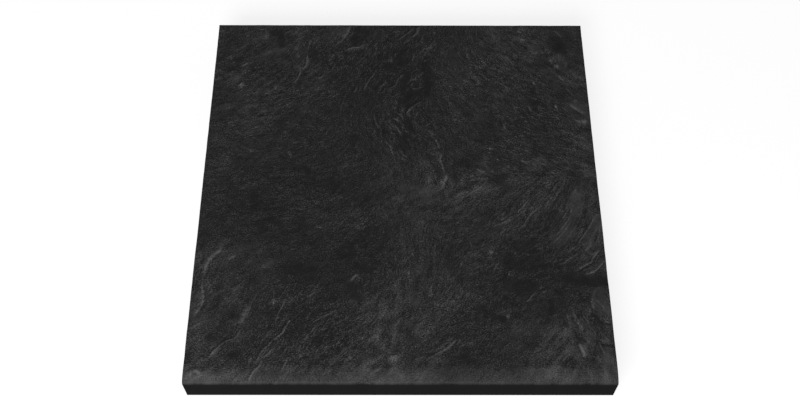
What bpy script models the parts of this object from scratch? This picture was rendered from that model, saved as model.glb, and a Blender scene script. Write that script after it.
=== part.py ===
"""A sawn slab of slate with a cleft top and a rolled front edge.

Metres, +Z up. The origin is at the middle of the underside, and the rolled edge faces -Y.
The slab is one piece of stone, so it is one solid: a grid of points for the cleft top,
drawn down over the nose, then an arris, four sawn walls and a flat underside.
"""

import math

import bmesh
import bpy
import numpy as np
from mathutils import Vector, noise

# The slab, as sawn.
WIDTH = 0.450
DEPTH = 0.470
THICKNESS = 0.038
NOSE_SETBACK = 0.0135  # the nose starts this far behind the front face
NOSE_DROP = 0.0057  # and meets the front face this far below the top
ARRIS = 0.0008  # small chamfer round the sawn top edges

# The grid that carries the cleft top.
COLUMNS = 62
TOP_ROWS = 60
NOSE_ROWS = 6

# How deep the top is cleft below the full thickness.
SWELL_DEPTH = 0.0005
SWELL_LENGTH = 0.110
GRAIN_DEPTH = 0.0004
GRAIN_LENGTH = 0.060
GRAIN_WIDTH = 0.018
LEDGE_RUN = 0.020  # a ledge's step dies out over this distance on either side
LEDGE_FACE = 0.003  # and its face is this wide

MM = 0.001

# Ledges where one leaf of stone broke off above the next: step in mm, then the route in mm.
# The high side is on the left of the route.
LEDGES = (
    (0.80, ((-197, -81), (-205, -87), (-210, -96), (-213, -112), (-212, -143), (-223, -161))),
    (0.95, ((-162, -150), (-167, -162), (-169, -177), (-184, -190), (-197, -204), (-207, -211))),
    (0.80, ((-112, -155), (-123, -178), (-140, -196), (-153, -216), (-157, -236))),
    (0.65, ((-74, -152), (-94, -179), (-112, -205), (-122, -222))),
    (0.55, ((-122, -140), (-129, -157), (-143, -182))),
    (0.65, ((-109, 214), (-114, 179), (-122, 161), (-130, 146))),
    (0.80, ((-61, 232), (-65, 223), (-71, 212))),
    (0.55, ((-43, 204), (-59, 199), (-67, 194))),
    (0.55, ((-30, 161), (-41, 140), (-47, 128))),
    (0.95, ((27, 119), (14, 109), (6, 100))),
    (0.70, ((48, 217), (35, 197), (27, 188))),
    (0.70, ((30, 85), (40, 71), (47, 47), (52, 12))),
    (0.70, ((-20, 62), (-9, 44), (2, 24))),
    (0.80, ((92, -3), (83, -9), (67, -14))),
    (0.80, ((141, -20), (125, -39), (108, -50))),
    (0.65, ((197, -12), (190, -40), (167, -65))),
    (0.70, ((223, -33), (210, -56), (196, -79), (178, -92))),
    (0.90, ((223, -79), (204, -100), (190, -106))),
    (0.90, ((223, -125), (205, -135), (204, -149), (213, -164), (223, -170))),
    (0.70, ((65, -188), (49, -198), (29, -207), (15, -213))),
    (0.70, ((206, 114), (213, 105), (219, 99))),
)

# Knobs and shallow pits: height in mm, radius in mm, centre in mm.
KNOBS = (
    (1.0, 9, (-7, -208)),
    (0.7, 8, (190, -201)),
    (0.6, 9, (-51, -117)),
    (0.7, 9, (-192, 143)),
    (0.8, 9, (188, 171)),
    (0.7, 9, (217, 89)),
    (-0.9, 20, (14, 150)),
    (-0.7, 14, (-52, 223)),
    (-0.7, 20, (193, 204)),
    (-0.8, 26, (150, -90)),
    (-0.7, 20, (162, -148)),
)

# Grain of the cleft face: the direction in degrees from +X, at a place in mm.
GRAIN = (
    (35, (-185, 195)),
    (10, (-190, 60)),
    (60, (-50, 170)),
    (57, (20, 190)),
    (-68, (0, 60)),
    (-30, (140, 140)),
    (-18, (190, 40)),
    (48, (165, -50)),
    (20, (150, -110)),
    (88, (10, -90)),
    (5, (-150, -60)),
    (52, (-110, -190)),
    (35, (50, -200)),
    (-60, (195, -185)),
)


def segment_distances(points, start, end):
    """Distance from each point to a segment, and on which side of it the point lies."""
    along = end - start
    offset = points - start
    share = np.clip(offset @ along / (along @ along), 0, 1)
    nearest = np.linalg.norm(offset - share[:, None] * along, axis=1)
    side = np.sign(along[0] * offset[:, 1] - along[1] * offset[:, 0])
    return nearest, side


def ledge_heights(points, step, route):
    """A step across the route, high on its left, that dies out away from it."""
    corners = np.array(route) * MM
    distances = [segment_distances(points, a, b) for a, b in zip(corners, corners[1:])]
    nearest = np.array([d for d, _ in distances])
    sides = np.array([s for _, s in distances])
    best = nearest.argmin(axis=0)
    columns = np.arange(len(points))
    signed = nearest[best, columns] * sides[best, columns]
    face = np.tanh(signed / LEDGE_FACE)
    return 0.5 * step * MM * face * np.exp(-np.abs(signed) / LEDGE_RUN)


def knob_heights(points, height, radius, centre):
    """A round knob, or a pit where the height is negative."""
    away = np.linalg.norm(points - np.array(centre) * MM, axis=1)
    return height * MM * np.exp(-((away / (radius * MM)) ** 2))


def grain_directions(points):
    """Unit vectors along the grain, blended between the places that state it."""
    total = np.zeros((len(points), 2))
    for degrees, place in GRAIN:
        away = np.linalg.norm(points - np.array(place) * MM, axis=1)
        doubled = 2 * math.radians(degrees)
        weight = 1 / (away**2 + 1e-4)
        total += weight[:, None] * np.array([math.cos(doubled), math.sin(doubled)])
    half = np.arctan2(total[:, 1], total[:, 0]) / 2
    return np.stack([np.cos(half), np.sin(half)], axis=1)


def cleft_heights(points):
    """Height of the cleft face over its mean plane at each (x, y)."""
    heights = np.zeros(len(points))
    for step, route in LEDGES:
        heights += ledge_heights(points, step, route)
    for height, radius, centre in KNOBS:
        heights += knob_heights(points, height, radius, centre)
    for k, ((x, y), (along_x, along_y)) in enumerate(zip(points, grain_directions(points))):
        swell = noise.noise(Vector((x, y, 0.3)) / SWELL_LENGTH)
        along = x * along_x + y * along_y
        across = y * along_x - x * along_y
        grain = noise.noise(Vector((along / GRAIN_LENGTH, across / GRAIN_WIDTH, 2.0)))
        heights[k] += SWELL_DEPTH * swell + GRAIN_DEPTH * grain
    return heights


def row_profile():
    """(y, drop below the top) of each row of the grid, from the back edge over the nose."""
    back = DEPTH / 2 - ARRIS
    nose_start = -DEPTH / 2 + NOSE_SETBACK
    rows = [(back + (nose_start - back) * k / TOP_ROWS, 0.0) for k in range(TOP_ROWS)]
    for k in range(NOSE_ROWS + 1):
        turn = math.pi / 2 * k / NOSE_ROWS
        ahead = NOSE_SETBACK * math.sin(turn)
        rows.append((nose_start - ahead, NOSE_DROP * (1 - math.cos(turn))))
    return rows


def add_cleft_face(mesh):
    """The grid of the top and the nose, whose open rim the arris and the walls grow from."""
    half = WIDTH / 2 - ARRIS
    rows = row_profile()
    columns = np.linspace(-half, half, COLUMNS + 1)
    points = np.array([(x, y) for y, _ in rows for x in columns])
    heights = cleft_heights(points)
    heights -= heights.max()
    # The nose was rolled by grinding, so the cleft relief fades to nothing down it.
    left = np.array([1 - drop / NOSE_DROP for _, drop in rows for _ in columns])
    drops = np.array([drop for _, drop in rows for _ in columns])
    tops = THICKNESS - drops + heights * left
    verts = [mesh.verts.new((x, y, z)) for (x, y), z in zip(points, tops)]
    wide = len(columns)
    for row in range(len(rows) - 1):
        for column in range(wide - 1):
            corner = row * wide + column
            below = corner + wide
            mesh.faces.new([verts[k] for k in (corner, below, below + 1, corner + 1)])


def extrude_rim(mesh):
    """Extrudes the open rim and returns the new points."""
    rim = [edge for edge in mesh.edges if edge.is_boundary]
    made = bmesh.ops.extrude_edge_only(mesh, edges=rim)["geom"]
    return [part for part in made if isinstance(part, bmesh.types.BMVert)]


def add_arris(mesh):
    """A chamfer out to the sawn sides and back. The nose already meets the front face."""
    for point in extrude_rim(mesh):
        towards_back = (point.co.y + DEPTH / 2) / (DEPTH - ARRIS)
        point.co.x *= (WIDTH / 2) / (WIDTH / 2 - ARRIS)
        point.co.y += ARRIS * towards_back
        point.co.z -= ARRIS


def add_walls_and_underside(mesh):
    for point in extrude_rim(mesh):
        point.co.z = 0.0
    rim = [edge for edge in mesh.edges if edge.is_boundary]
    bmesh.ops.contextual_create(mesh, geom=rim)


def slate_material():
    material = bpy.data.materials.new("slate")
    material.use_nodes = True
    shader = material.node_tree.nodes["Principled BSDF"]
    shader.inputs["Base Color"].default_value = (0.020, 0.020, 0.021, 1.0)
    shader.inputs["Roughness"].default_value = 0.7
    shader.inputs["Metallic"].default_value = 0.0
    material.diffuse_color = (0.020, 0.020, 0.021, 1.0)
    return material


def make_slab():
    mesh = bmesh.new()
    add_cleft_face(mesh)
    add_arris(mesh)
    add_walls_and_underside(mesh)
    bmesh.ops.recalc_face_normals(mesh, faces=mesh.faces)
    data = bpy.data.meshes.new("slab")
    mesh.to_mesh(data)
    mesh.free()
    data.materials.append(slate_material())
    data.shade_smooth()
    data.set_sharp_from_angle(angle=math.radians(30))
    slab = bpy.data.objects.new("slab", data)
    bpy.context.scene.collection.objects.link(slab)


for old in list(bpy.data.objects):
    bpy.data.objects.remove(old)
make_slab()
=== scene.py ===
import math

import bmesh
import bpy
import numpy as np
from mathutils import Matrix, Vector


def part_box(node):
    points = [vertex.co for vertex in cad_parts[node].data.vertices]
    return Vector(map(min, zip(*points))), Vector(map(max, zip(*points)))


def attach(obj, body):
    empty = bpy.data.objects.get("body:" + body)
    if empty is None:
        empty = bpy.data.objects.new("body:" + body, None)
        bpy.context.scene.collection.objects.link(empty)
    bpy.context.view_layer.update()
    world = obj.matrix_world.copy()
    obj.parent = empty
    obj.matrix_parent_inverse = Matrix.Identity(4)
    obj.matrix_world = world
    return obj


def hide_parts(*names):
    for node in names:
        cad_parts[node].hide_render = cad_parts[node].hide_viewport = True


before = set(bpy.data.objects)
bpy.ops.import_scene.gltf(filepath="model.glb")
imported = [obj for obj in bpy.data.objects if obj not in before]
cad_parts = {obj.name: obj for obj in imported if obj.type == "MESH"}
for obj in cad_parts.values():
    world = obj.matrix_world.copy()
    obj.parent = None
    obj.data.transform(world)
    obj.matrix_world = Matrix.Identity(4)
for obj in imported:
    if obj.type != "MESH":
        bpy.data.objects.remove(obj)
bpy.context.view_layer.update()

# ---------------------------------------------------------------------------------------
# The slab: one leaf of near-black slate, split along its cleavage so that the top is cleft.
# Its sides, back and underside are sawn square, and its front edge is rolled over by
# grinding. A blank is drawn first, then the marks of the cleft top, then the finish.
# ---------------------------------------------------------------------------------------
MM = 0.001
LOW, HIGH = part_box("slab")
WIDTH, DEPTH, THICKNESS = HIGH - LOW
NOSE_SETBACK = 13.5 * MM  # the nose starts this far behind the front face
NOSE_DROP = 5.7 * MM  # and meets that face this far below the top
NOSE_STEPS = 10
ARRIS = 0.8 * MM  # small chamfer round the sawn top edges
FOOT_ARRIS = 0.3 * MM  # and round the underside
SETTLE = 1.8 * MM  # a ring this far under the arris, below which the walls are dead flat
COLUMNS = 288
ROWS = 292
NEAR = 0.01 * MM  # as good as in the same place

nose_line = LOW.y + NOSE_SETBACK
top_back = HIGH.y - ARRIS

# The blank: a fine grid for the top, whose rim is extruded into the rest.
bpy.ops.object.select_all(action="DESELECT")
bpy.ops.mesh.primitive_grid_add(
    x_subdivisions=COLUMNS, y_subdivisions=ROWS, size=1,
    location=(0, (nose_line + top_back) / 2, THICKNESS),
)
slab = bpy.context.object
slab.name = "slate_slab"
slab.scale = (WIDTH - 2 * ARRIS, top_back - nose_line, 1)
bpy.ops.object.transform_apply(location=True, rotation=True, scale=True)
bpy.ops.object.mode_set(mode="EDIT")
bpy.ops.mesh.select_mode(type="EDGE")


def select_edges(wanted):
    """Selects just the edges for which wanted(edge) is true."""
    bpy.ops.mesh.select_all(action="DESELECT")
    mesh = bmesh.from_edit_mesh(slab.data)
    for edge in mesh.edges:
        edge.select = wanted(edge)
    bmesh.update_edit_mesh(slab.data)


def extrude_by(x, y, z):
    """Draws the selected edges out into new faces."""
    bpy.ops.mesh.extrude_edges_move(TRANSFORM_OT_translate={"value": (x, y, z)})


# The nose is a quarter of an ellipse, drawn out of the grid's front edge.
select_edges(lambda edge: all(v.co.y < nose_line + NEAR for v in edge.verts))
for k in range(NOSE_STEPS):
    before, after = (math.pi / 2 * turn / NOSE_STEPS for turn in (k, k + 1))
    ahead = NOSE_SETBACK * (math.sin(after) - math.sin(before))
    drop = NOSE_DROP * (math.cos(before) - math.cos(after))
    extrude_by(0, -ahead, -drop)

# The open rim is drawn out to the arris, down the walls, and in under the foot.
select_edges(lambda edge: edge.is_boundary)
extrude_by(0, 0, -ARRIS)
bpy.ops.transform.resize(
    value=(WIDTH / (WIDTH - 2 * ARRIS), DEPTH / (DEPTH - ARRIS), 1),
    center_override=(0, LOW.y, 0),
)
extrude_by(0, 0, -SETTLE)
extrude_by(0, 0, 0)
bpy.ops.transform.resize(value=(1, 1, 0), center_override=(0, 0, FOOT_ARRIS))
extrude_by(0, 0, -FOOT_ARRIS)
bpy.ops.transform.resize(
    value=(1 - 2 * FOOT_ARRIS / WIDTH, 1 - 2 * FOOT_ARRIS / DEPTH, 1), center_override=(0, 0, 0),
)
bpy.ops.mesh.edge_face_add()
bpy.ops.mesh.select_all(action="SELECT")
bpy.ops.mesh.normals_make_consistent(inside=False)
bpy.ops.object.mode_set(mode="OBJECT")

# The marks of the cleft top. Where the slate split, its minerals lie combed in swirls, and
# whole leaves broke off at low ledges. Each mark is given in mm from the middle of the top,
# x to the right and y to the back.

# Grain: its direction in degrees from +X, and the place that has it.
GRAIN = (
    (30, (-200, 210)), (33, (-150, 190)), (28, (-110, 140)), (62, (-112, 190)), (22, (-190, 120)),
    (12, (-190, 60)), (18, (-130, 90)), (8, (-170, 10)), (58, (-60, 205)), (60, (-50, 165)),
    (62, (-10, 200)), (55, (35, 205)), (58, (5, 160)), (75, (-50, 110)), (95, (-25, 90)),
    (115, (-5, 60)), (110, (20, 95)), (60, (18, 115)), (118, (35, 65)), (100, (50, 20)),
    (125, (60, 170)), (130, (70, 110)), (140, (110, 150)), (145, (150, 160)), (140, (200, 190)),
    (150, (170, 100)), (148, (215, 110)), (150, (110, 80)), (155, (150, 45)), (150, (205, 50)),
    (35, (85, -8)), (160, (95, 25)), (48, (130, -35)), (55, (160, -40)), (68, (200, -25)),
    (58, (205, -65)), (40, (185, -90)), (38, (165, -98)), (42, (215, -98)), (25, (150, -80)),
    (15, (190, -115)), (35, (110, -110)), (20, (40, -20)), (40, (90, -60)), (85, (20, -60)),
    (88, (15, -120)), (92, (40, -100)), (60, (-20, -30)), (30, (-70, 20)), (10, (-110, -20)),
    (6, (-170, -50)), (20, (-60, -60)), (30, (-90, -90)), (25, (-150, -90)), (80, (-210, -110)),
    (50, (-190, -130)), (40, (-55, -118)), (45, (-90, -140)), (60, (-130, -160)),
    (70, (-168, -165)), (48, (-110, -190)), (52, (-150, -210)), (42, (-190, -200)),
    (40, (-60, -170)), (35, (-40, -205)), (70, (-5, -190)), (50, (15, -150)), (40, (50, -170)),
    (32, (40, -205)), (38, (90, -190)), (42, (120, -150)), (45, (130, -210)), (35, (160, -150)),
    (50, (185, -140)), (118, (187, -160)), (115, (195, -195)), (100, (215, -150)),
    (45, (165, -190)),
)

# Ledges: how light and how wide the broken edge is (mm), its step (mm, high on the left
# of the route), and its route. How light it is also sets the painted light and shadow on its
# sides.
LEDGES = (
    # the back left quarter
    (0.7, 0.8, 0.2, ((-109, 216), (-110, 209), (-112, 204), (-114, 192))),
    (1.2, 1, 0.65, ((-114, 192), (-113, 180), (-114, 174), (-116, 170), (-121, 165))),
    (1.2, 0.9, 0.5, ((-120, 166), (-122, 158), (-124, 152), (-127, 148), (-131, 146))),
    (0.7, 0.65, 0.2, ((-124, 160), (-126, 153), (-131, 149))),
    (0.5, 1.3, 0.4, ((-165, 222), (-162, 218), (-166, 214), (-173, 213))),
    (0.5, 1.2, 0.2, ((-187, 210), (-190, 204), (-192, 201), (-197, 199), (-202, 194))),
    (0.6, 1.1, 0.2, ((-171, 188), (-175, 186), (-179, 184), (-184, 182))),
    (1, 1.1, 0.2, ((-181, 177), (-186, 175), (-190, 172), (-195, 169))),
    (0.5, 1, 0.2, ((-157, 196), (-162, 192), (-167, 188))),
    (0.5, 0.75, 0.2, ((-147, 192), (-153, 186), (-156, 180))),
    (0.5, 0.75, 0.2, ((-163, 199), (-168, 195))),
    (0.8, 1.2, 0.2, ((-117, 219), (-122, 215), (-129, 212))),
    (0.6, 1, 0.2, ((-134, 227), (-140, 224), (-143, 221))),
    (0.5, 1, 0.2, ((-131, 227), (-127, 221))),
    (0.6, 1, 0.2, ((-135, 180), (-143, 178), (-148, 174))),
    (0.5, 1, 0.2, ((-131, 173), (-137, 170))), (0.4, 0.65, 0.2, ((-144, 164), (-148, 159))),
    (0.5, 0.65, 0.2, ((-160, 168), (-165, 163))), (0.5, 0.65, 0.2, ((-173, 159), (-179, 152))),
    (0.5, 0.65, 0.2, ((-176, 160), (-182, 154))),
    (0.8, 1.6, 0.4, ((-189, 149), (-191, 144), (-195, 141))),
    (0.5, 0.65, 0.2, ((-101, 130), (-108, 126), (-115, 121))),
    (0.5, 0.65, 0.2, ((-94, 101), (-100, 94))), (0.5, 1, 0.2, ((-82, 187), (-86, 182))),
    # the back middle
    (1, 1.2, 0.8, ((-71, 212), (-67, 219), (-64, 225), (-60, 233))),
    (1.2, 1.3, 0.55, ((-43, 207), (-47, 203), (-50, 200), (-57, 200), (-63, 198), (-68, 193))),
    (1, 1, 0.55, ((-30, 165), (-32, 158), (-36, 152), (-40, 145), (-43, 138), (-46, 130))),
    (0.8, 0.75, 0.2, ((-38, 157), (-43, 151))),
    (0.9, 0.75, 0.3, ((-51, 142), (-52, 139), (-55, 134), (-57, 130))),
    (0.6, 0.75, 0.2, ((-47, 142), (-50, 131))), (0.5, 0.65, 0.2, ((-38, 140), (-35, 134))),
    (0.6, 0.75, 0.2, ((-26, 176), (-33, 170))), (0.5, 0.75, 0.2, ((-35, 173), (-39, 165))),
    (1, 0.9, 0.4, ((-18, 152), (-17, 147), (-24, 141), (-27, 138))),
    (0.8, 0.75, 0.3, ((-20, 158), (-13, 160), (-8, 160), (-6, 156))),
    (1, 0.9, 0.5, ((6, 162), (2, 157), (-2, 153), (-4, 147), (-6, 142), (-10, 139), (-15, 137))),
    (0.6, 0.75, 0.2, ((1, 166), (-4, 161))),
    (0.9, 0.9, 0.4, ((9, 142), (10, 146), (13, 150), (17, 151), (22, 150))),
    (0.8, 1, 0.2, ((24, 147), (24, 142), (22, 138), (16, 138), (12, 141))),
    (0.8, 1, 0.2, ((21, 153), (25, 158), (29, 162))),
    (0.8, 1, 0.3, ((17, 233), (13, 226), (9, 222), (5, 218), (1, 215), (-4, 212))),
    (0.8, 1, 0.2, ((17, 220), (12, 215), (9, 210), (5, 207), (3, 202))),
    (1.1, 1.3, 0.4, ((25, 233), (22, 228), (22, 224), (19, 220), (14, 215))),
    (0.8, 1, 0.2, ((29, 218), (26, 211), (24, 207))),
    (1, 1.2, 0.5, ((44, 213), (39, 206), (36, 200), (33, 198), (34, 193))),
    (0.9, 1, 0.2, ((31, 200), (27, 194))), (0.6, 1, 0.2, ((22, 205), (18, 199))),
    (0.8, 1, 0.2, ((17, 192), (16, 186), (15, 178))),
    (0.6, 1, 0.2, ((-27, 209), (-31, 202), (-32, 197))), (0.5, 1, 0.2, ((-29, 192), (-35, 187))),
    (0.5, 0.75, 0.2, ((-68, 158), (-68, 150))),
    (0.6, 0.65, 0.2, ((-64, 159), (-62, 149), (-59, 141))),
    (1.2, 1.1, 0.95, ((28, 119), (22, 117), (17, 113), (12, 108), (8, 102), (6, 99))),
    (0.6, 0.65, 0.2, ((30, 111), (22, 104), (19, 98), (16, 93))),
    (0.6, 0.75, 0.3, ((14, 93), (18, 87), (20, 80))),
    (0.9, 0.75, 0.2, ((39, 89), (33, 86), (29, 82))),
    (0.8, 0.9, 0.5, ((30, 81), (34, 76), (39, 71), (41, 69))),
    (0.9, 0.9, 0.3, ((41, 68), (42, 62), (44, 57), (45, 50))),
    (0.8, 0.9, 0.6, ((-20, 62), (-18, 61), (-13, 58), (-11, 54), (-10, 48), (-8, 42))),
    (0.9, 0.75, 0.3, ((-8, 105), (-1, 100), (2, 96), (6, 91))),
    (0.8, 0.65, 0.2, ((1, 103), (5, 109))), (1.1, 1, 0.3, ((-9, 95), (-4, 92), (-1, 88))),
    (0.8, 0.65, 0.2, ((-14, 95), (-12, 87), (-8, 83), (-5, 75))),
    (0.9, 0.65, 0.3, ((-10, 89), (-4, 81), (0, 74), (2, 71))),
    (0.8, 0.65, 0.2, ((2, 83), (7, 76), (10, 74))), (0.9, 0.65, 0.3, ((1, 47), (5, 42), (9, 39))),
    (1, 0.75, 0.3, ((1, 40), (4, 36), (7, 32))),
    (0.8, 0.65, 0.3, ((-30, 105), (-31, 96), (-28, 87), (-25, 80), (-24, 76))),
    (0.9, 0.65, 0.2, ((-31, 81), (-30, 75), (-35, 69))), (0.6, 0.65, 0.2, ((-33, 63), (-28, 56))),
    (0.5, 0.65, 0.2, ((-43, 54), (-42, 45), (-38, 38))),
    # the back right quarter
    (0.5, 1.2, 0.2, ((121, 220), (124, 213), (127, 209), (133, 206), (137, 204))),
    (1, 1.5, 0.3, ((149, 213), (156, 212))),
    (0.7, 1.2, 0.4, ((189, 228), (194, 224), (198, 219), (202, 215))),
    (0.6, 1.1, 0.2, ((159, 199), (162, 192), (166, 190), (169, 195))),
    (0.7, 1, 0.2, ((172, 197), (174, 192), (178, 193), (180, 200))),
    (0.8, 1.2, 0.5, ((182, 182), (186, 175))),
    (0.5, 0.75, 0.2, ((197, 178), (203, 176), (200, 169))),
    (0.9, 1.1, 0.4, ((191, 160), (194, 153), (199, 149))),
    (0.7, 1.4, 0.3, ((205, 168), (211, 158), (214, 154), (221, 153))),
    (0.6, 1.1, 0.2, ((198, 141), (203, 134), (207, 129))),
    (0.5, 1, 0.2, ((166, 163), (171, 161), (177, 158))), (0.5, 1, 0.2, ((141, 154), (143, 148))),
    (0.5, 1.2, 0.2, ((159, 149), (163, 142))), (0.6, 1, 0.2, ((214, 213), (223, 212))),
    (0.7, 1.3, 0.7, ((201, 116), (207, 110), (212, 106), (219, 101))),
    (0.9, 1.2, 0.3, ((203, 94), (209, 91), (213, 88))),
    (1.2, 1.1, 0.3, ((184, 115), (185, 111), (188, 107))), (0.7, 1, 0.2, ((183, 97), (188, 93))),
    (0.9, 1, 0.2, ((121, 87), (124, 78))), (0.6, 1.2, 0.2, ((171, 104), (177, 100))),
    (0.7, 1.1, 0.3, ((152, 114), (154, 108), (155, 104), (160, 103))),
    (0.5, 0.75, 0.2, ((133, 101), (137, 96), (136, 91))), (0.5, 1, 0.2, ((84, 101), (91, 99))),
    # across the middle
    (1, 1.1, 0.3, ((52, 17), (50, 23), (48, 31), (46, 37), (48, 44), (47, 48))),
    (1, 1.6, 0.5, ((49, 0), (50, 7), (53, 12), (52, 18))),
    (1, 1.5, 0.4, ((97, 19), (91, 22), (87, 25))), (0.5, 1, 0.2, ((98, 33), (99, 26), (102, 22))),
    (1, 1.2, 0.8, ((95, 2), (87, -4), (81, -7), (75, -12), (70, -14), (64, -15))),
    (0.7, 0.8, 0.3, ((92, 4), (84, -1), (76, -7), (69, -11))),
    (0.6, 0.75, 0.3, ((100, 14), (97, 7), (93, 0))),
    (0.5, 0.75, 0.2, ((88, 5), (81, -1), (77, -5))), (0.6, 0.75, 0.2, ((107, 17), (102, 12))),
    (0.6, 1, 0.3, ((140, 36), (145, 32), (151, 33))),
    (0.5, 1, 0.2, ((144, 27), (148, 22), (155, 22), (160, 26))),
    (0.6, 1.1, 0.3, ((149, 39), (157, 37), (163, 34))),
    (1.2, 0.9, 0.8, ((144, -18), (141, -22), (137, -28), (133, -31), (131, -36))),
    (0.8, 0.9, 0.5, ((128, -36), (121, -42), (117, -46), (111, -48), (107, -50), (101, -52))),
    (0.9, 0.9, 0.35, ((157, -24), (152, -31), (148, -34), (144, -39), (141, -43), (138, -50),
     (134, -53), (130, -58))),
    (0.6, 0.75, 0.2, ((135, -44), (130, -50), (124, -56))),
    (0.5, 0.75, 0.2, ((110, -32), (104, -37), (99, -41))),
    (0.6, 0.75, 0.2, ((174, -26), (170, -31))),
    (0.6, 0.65, 0.3, ((167, -36), (161, -43), (158, -47), (153, -50))),
    (0.7, 0.8, 0.65, ((197, -18), (193, -28), (191, -36), (188, -43), (184, -48), (180, -53),
     (177, -58), (171, -62), (165, -66))),
    (0.5, 0.7, 0.2, ((205, -22), (202, -38), (196, -50), (189, -60), (180, -70))),
    (0.5, 0.7, 0.2, ((184, -18), (180, -30), (173, -42), (166, -50))),
    (0.6, 0.7, 0.2, ((215, -64), (208, -76), (201, -86), (192, -93), (183, -99))),
    (0.5, 0.7, 0.2, ((150, -12), (146, -20), (141, -30), (134, -39), (127, -45))),
    (0.5, 0.7, 0.2, ((164, -22), (158, -32), (151, -41), (144, -49), (139, -56))),
    (0.5, 0.7, 0.2, ((121, -28), (114, -36), (106, -42), (98, -46))),
    (0.9, 0.8, 0.6, ((221, -33), (216, -42), (211, -51), (206, -59), (201, -66), (197, -72),
     (190, -80))),
    (0.9, 0.9, 0.4, ((198, -83), (189, -89), (183, -93), (178, -98), (172, -98))),
    (0.8, 0.9, 0.4, ((187, -90), (178, -92), (171, -93), (167, -97), (162, -99))),
    (0.5, 0.75, 0.2, ((180, -85), (184, -89))),
    (0.7, 0.9, 0.5, ((223, -56), (220, -63), (218, -69), (215, -74))),
    (1, 0.8, 0.9, ((188, -107), (193, -106), (198, -102), (203, -99), (209, -96), (211, -91),
     (214, -87), (218, -82), (223, -76))),
    (0.8, 0.9, 0.2, ((204, -83), (209, -86), (215, -88))),
    (0.8, 0.8, 0.5, ((198, -106), (205, -104), (210, -100))),
    (1, 0.8, 0.6, ((199, -111), (206, -109), (211, -107), (216, -103), (220, -98), (224, -94))),
    (0.7, 1, 0.2, ((109, -95), (105, -100), (102, -106), (101, -112))),
    (0.6, 1, 0.2, ((84, -100), (80, -106))), (0.6, 1, 0.2, ((119, -109), (116, -113))),
    (0.6, 1.2, 0.2, ((112, -75), (118, -80))),
    (0.6, 1, 0.2, ((76, -70), (79, -75), (76, -83), (74, -89))),
    (0.5, 0.75, 0.2, ((-133, -7), (-130, -14))), (0.7, 1.1, 0.2, ((-116, -30), (-105, -29))),
    (0.7, 1.2, 0.2, ((-95, -52), (-86, -53))), (0.5, 0.65, 0.2, ((-35, 10), (-33, 0))),
    # the front left quarter
    (1, 1.8, 0.8, ((-214, -115), (-212, -105), (-211, -99), (-209, -94), (-206, -90),
     (-203, -86), (-199, -83), (-195, -74))),
    (1, 1.2, 0.4, ((-222, -163), (-217, -156), (-212, -147), (-211, -138), (-213, -130),
     (-214, -117))),
    (0.7, 1, 0.2, ((-223, -109), (-219, -104), (-214, -100))),
    (0.8, 1.3, 0.3, ((-189, -94), (-185, -91), (-180, -88))),
    (0.5, 1, 0.2, ((-156, -84), (-155, -91))),
    (0.8, 2.4, 0.5, ((-161, -148), (-164, -154), (-166, -160), (-168, -166), (-169, -172))),
    (1.1, 1, 0.95, ((-169, -170), (-169, -177), (-171, -182), (-174, -186), (-181, -188),
     (-186, -191), (-189, -194), (-192, -197), (-196, -202), (-199, -208), (-205, -211))),
    (0.9, 1.6, 0.3, ((-217, -230), (-216, -224), (-212, -222), (-208, -224), (-209, -229))),
    (0.7, 1.2, 0.2, ((-177, -171), (-172, -168), (-167, -166))),
    (0.5, 1, 0.2, ((-213, -190), (-209, -187), (-204, -189))),
    (1, 1, 0.8, ((-112, -155), (-115, -162), (-118, -167), (-122, -174), (-124, -180),
     (-129, -184), (-134, -188), (-136, -191), (-141, -196), (-143, -199), (-146, -203),
     (-148, -209), (-153, -217), (-156, -223))),
    (1.1, 1.2, 0.5, ((-142, -209), (-147, -218), (-152, -223), (-155, -229), (-156, -235))),
    (1, 0.8, 0.3, ((-122, -137), (-124, -144), (-126, -149), (-129, -155), (-131, -162),
     (-133, -169))),
    (0.8, 0.75, 0.3, ((-134, -173), (-138, -178), (-142, -183), (-145, -188), (-148, -195))),
    (0.7, 0.7, 0.2, ((-119, -160), (-124, -164), (-128, -169))),
    (0.8, 0.8, 0.2, ((-122, -184), (-123, -190), (-127, -199))),
    (0.9, 0.8, 0.3, ((-132, -196), (-137, -202), (-141, -207))),
    (0.9, 0.75, 0.3, ((-117, -209), (-121, -217), (-124, -224))),
    (0.8, 0.9, 0.65, ((-62, -152), (-71, -155), (-80, -160), (-84, -162), (-89, -166),
     (-94, -168), (-99, -171))),
    (0.8, 0.9, 0.4, ((-88, -171), (-91, -175), (-95, -180))),
    (0.9, 1.5, 0.4, ((-96, -181), (-99, -186), (-103, -191), (-106, -197), (-109, -203))),
    (0.9, 0.7, 0.3, ((-74, -161), (-78, -167), (-81, -173), (-84, -177), (-87, -179))),
    (0.9, 0.8, 0.2, ((-93, -152), (-97, -158), (-100, -163))),
    (0.6, 0.65, 0.2, ((-62, -171), (-65, -178))),
    (0.7, 0.7, 0.2, ((-49, -182), (-54, -187), (-60, -191))),
    (0.9, 1.2, 0.3, ((-91, -131), (-96, -136), (-102, -138))),
    (1.1, 1.5, 0.4, ((-45, -110), (-49, -113), (-54, -119))),
    (0.5, 0.65, 0.2, ((-70, -112), (-76, -117), (-83, -123))),
    (0.4, 0.65, 0.2, ((-63, -104), (-66, -112))),
    # the front middle and the front right quarter
    (1.1, 1.1, 0.7, ((61, -183), (56, -190), (52, -194), (49, -197), (44, -200), (40, -202),
     (36, -204), (32, -207), (25, -211))),
    (0.8, 1.2, 0.3, ((25, -206), (19, -209), (12, -210))),
    (0.5, 0.75, 0.2, ((44, -206), (38, -210), (30, -214))),
    (0.7, 0.75, 0.2, ((64, -185), (61, -190), (59, -194))),
    (0.6, 0.75, 0.2, ((77, -188), (72, -194))),
    (1, 0.9, 0.25, ((147, -131), (142, -136), (138, -141), (134, -145))),
    (0.7, 1, 0.3, ((169, -157), (164, -159), (160, -161))),
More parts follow.
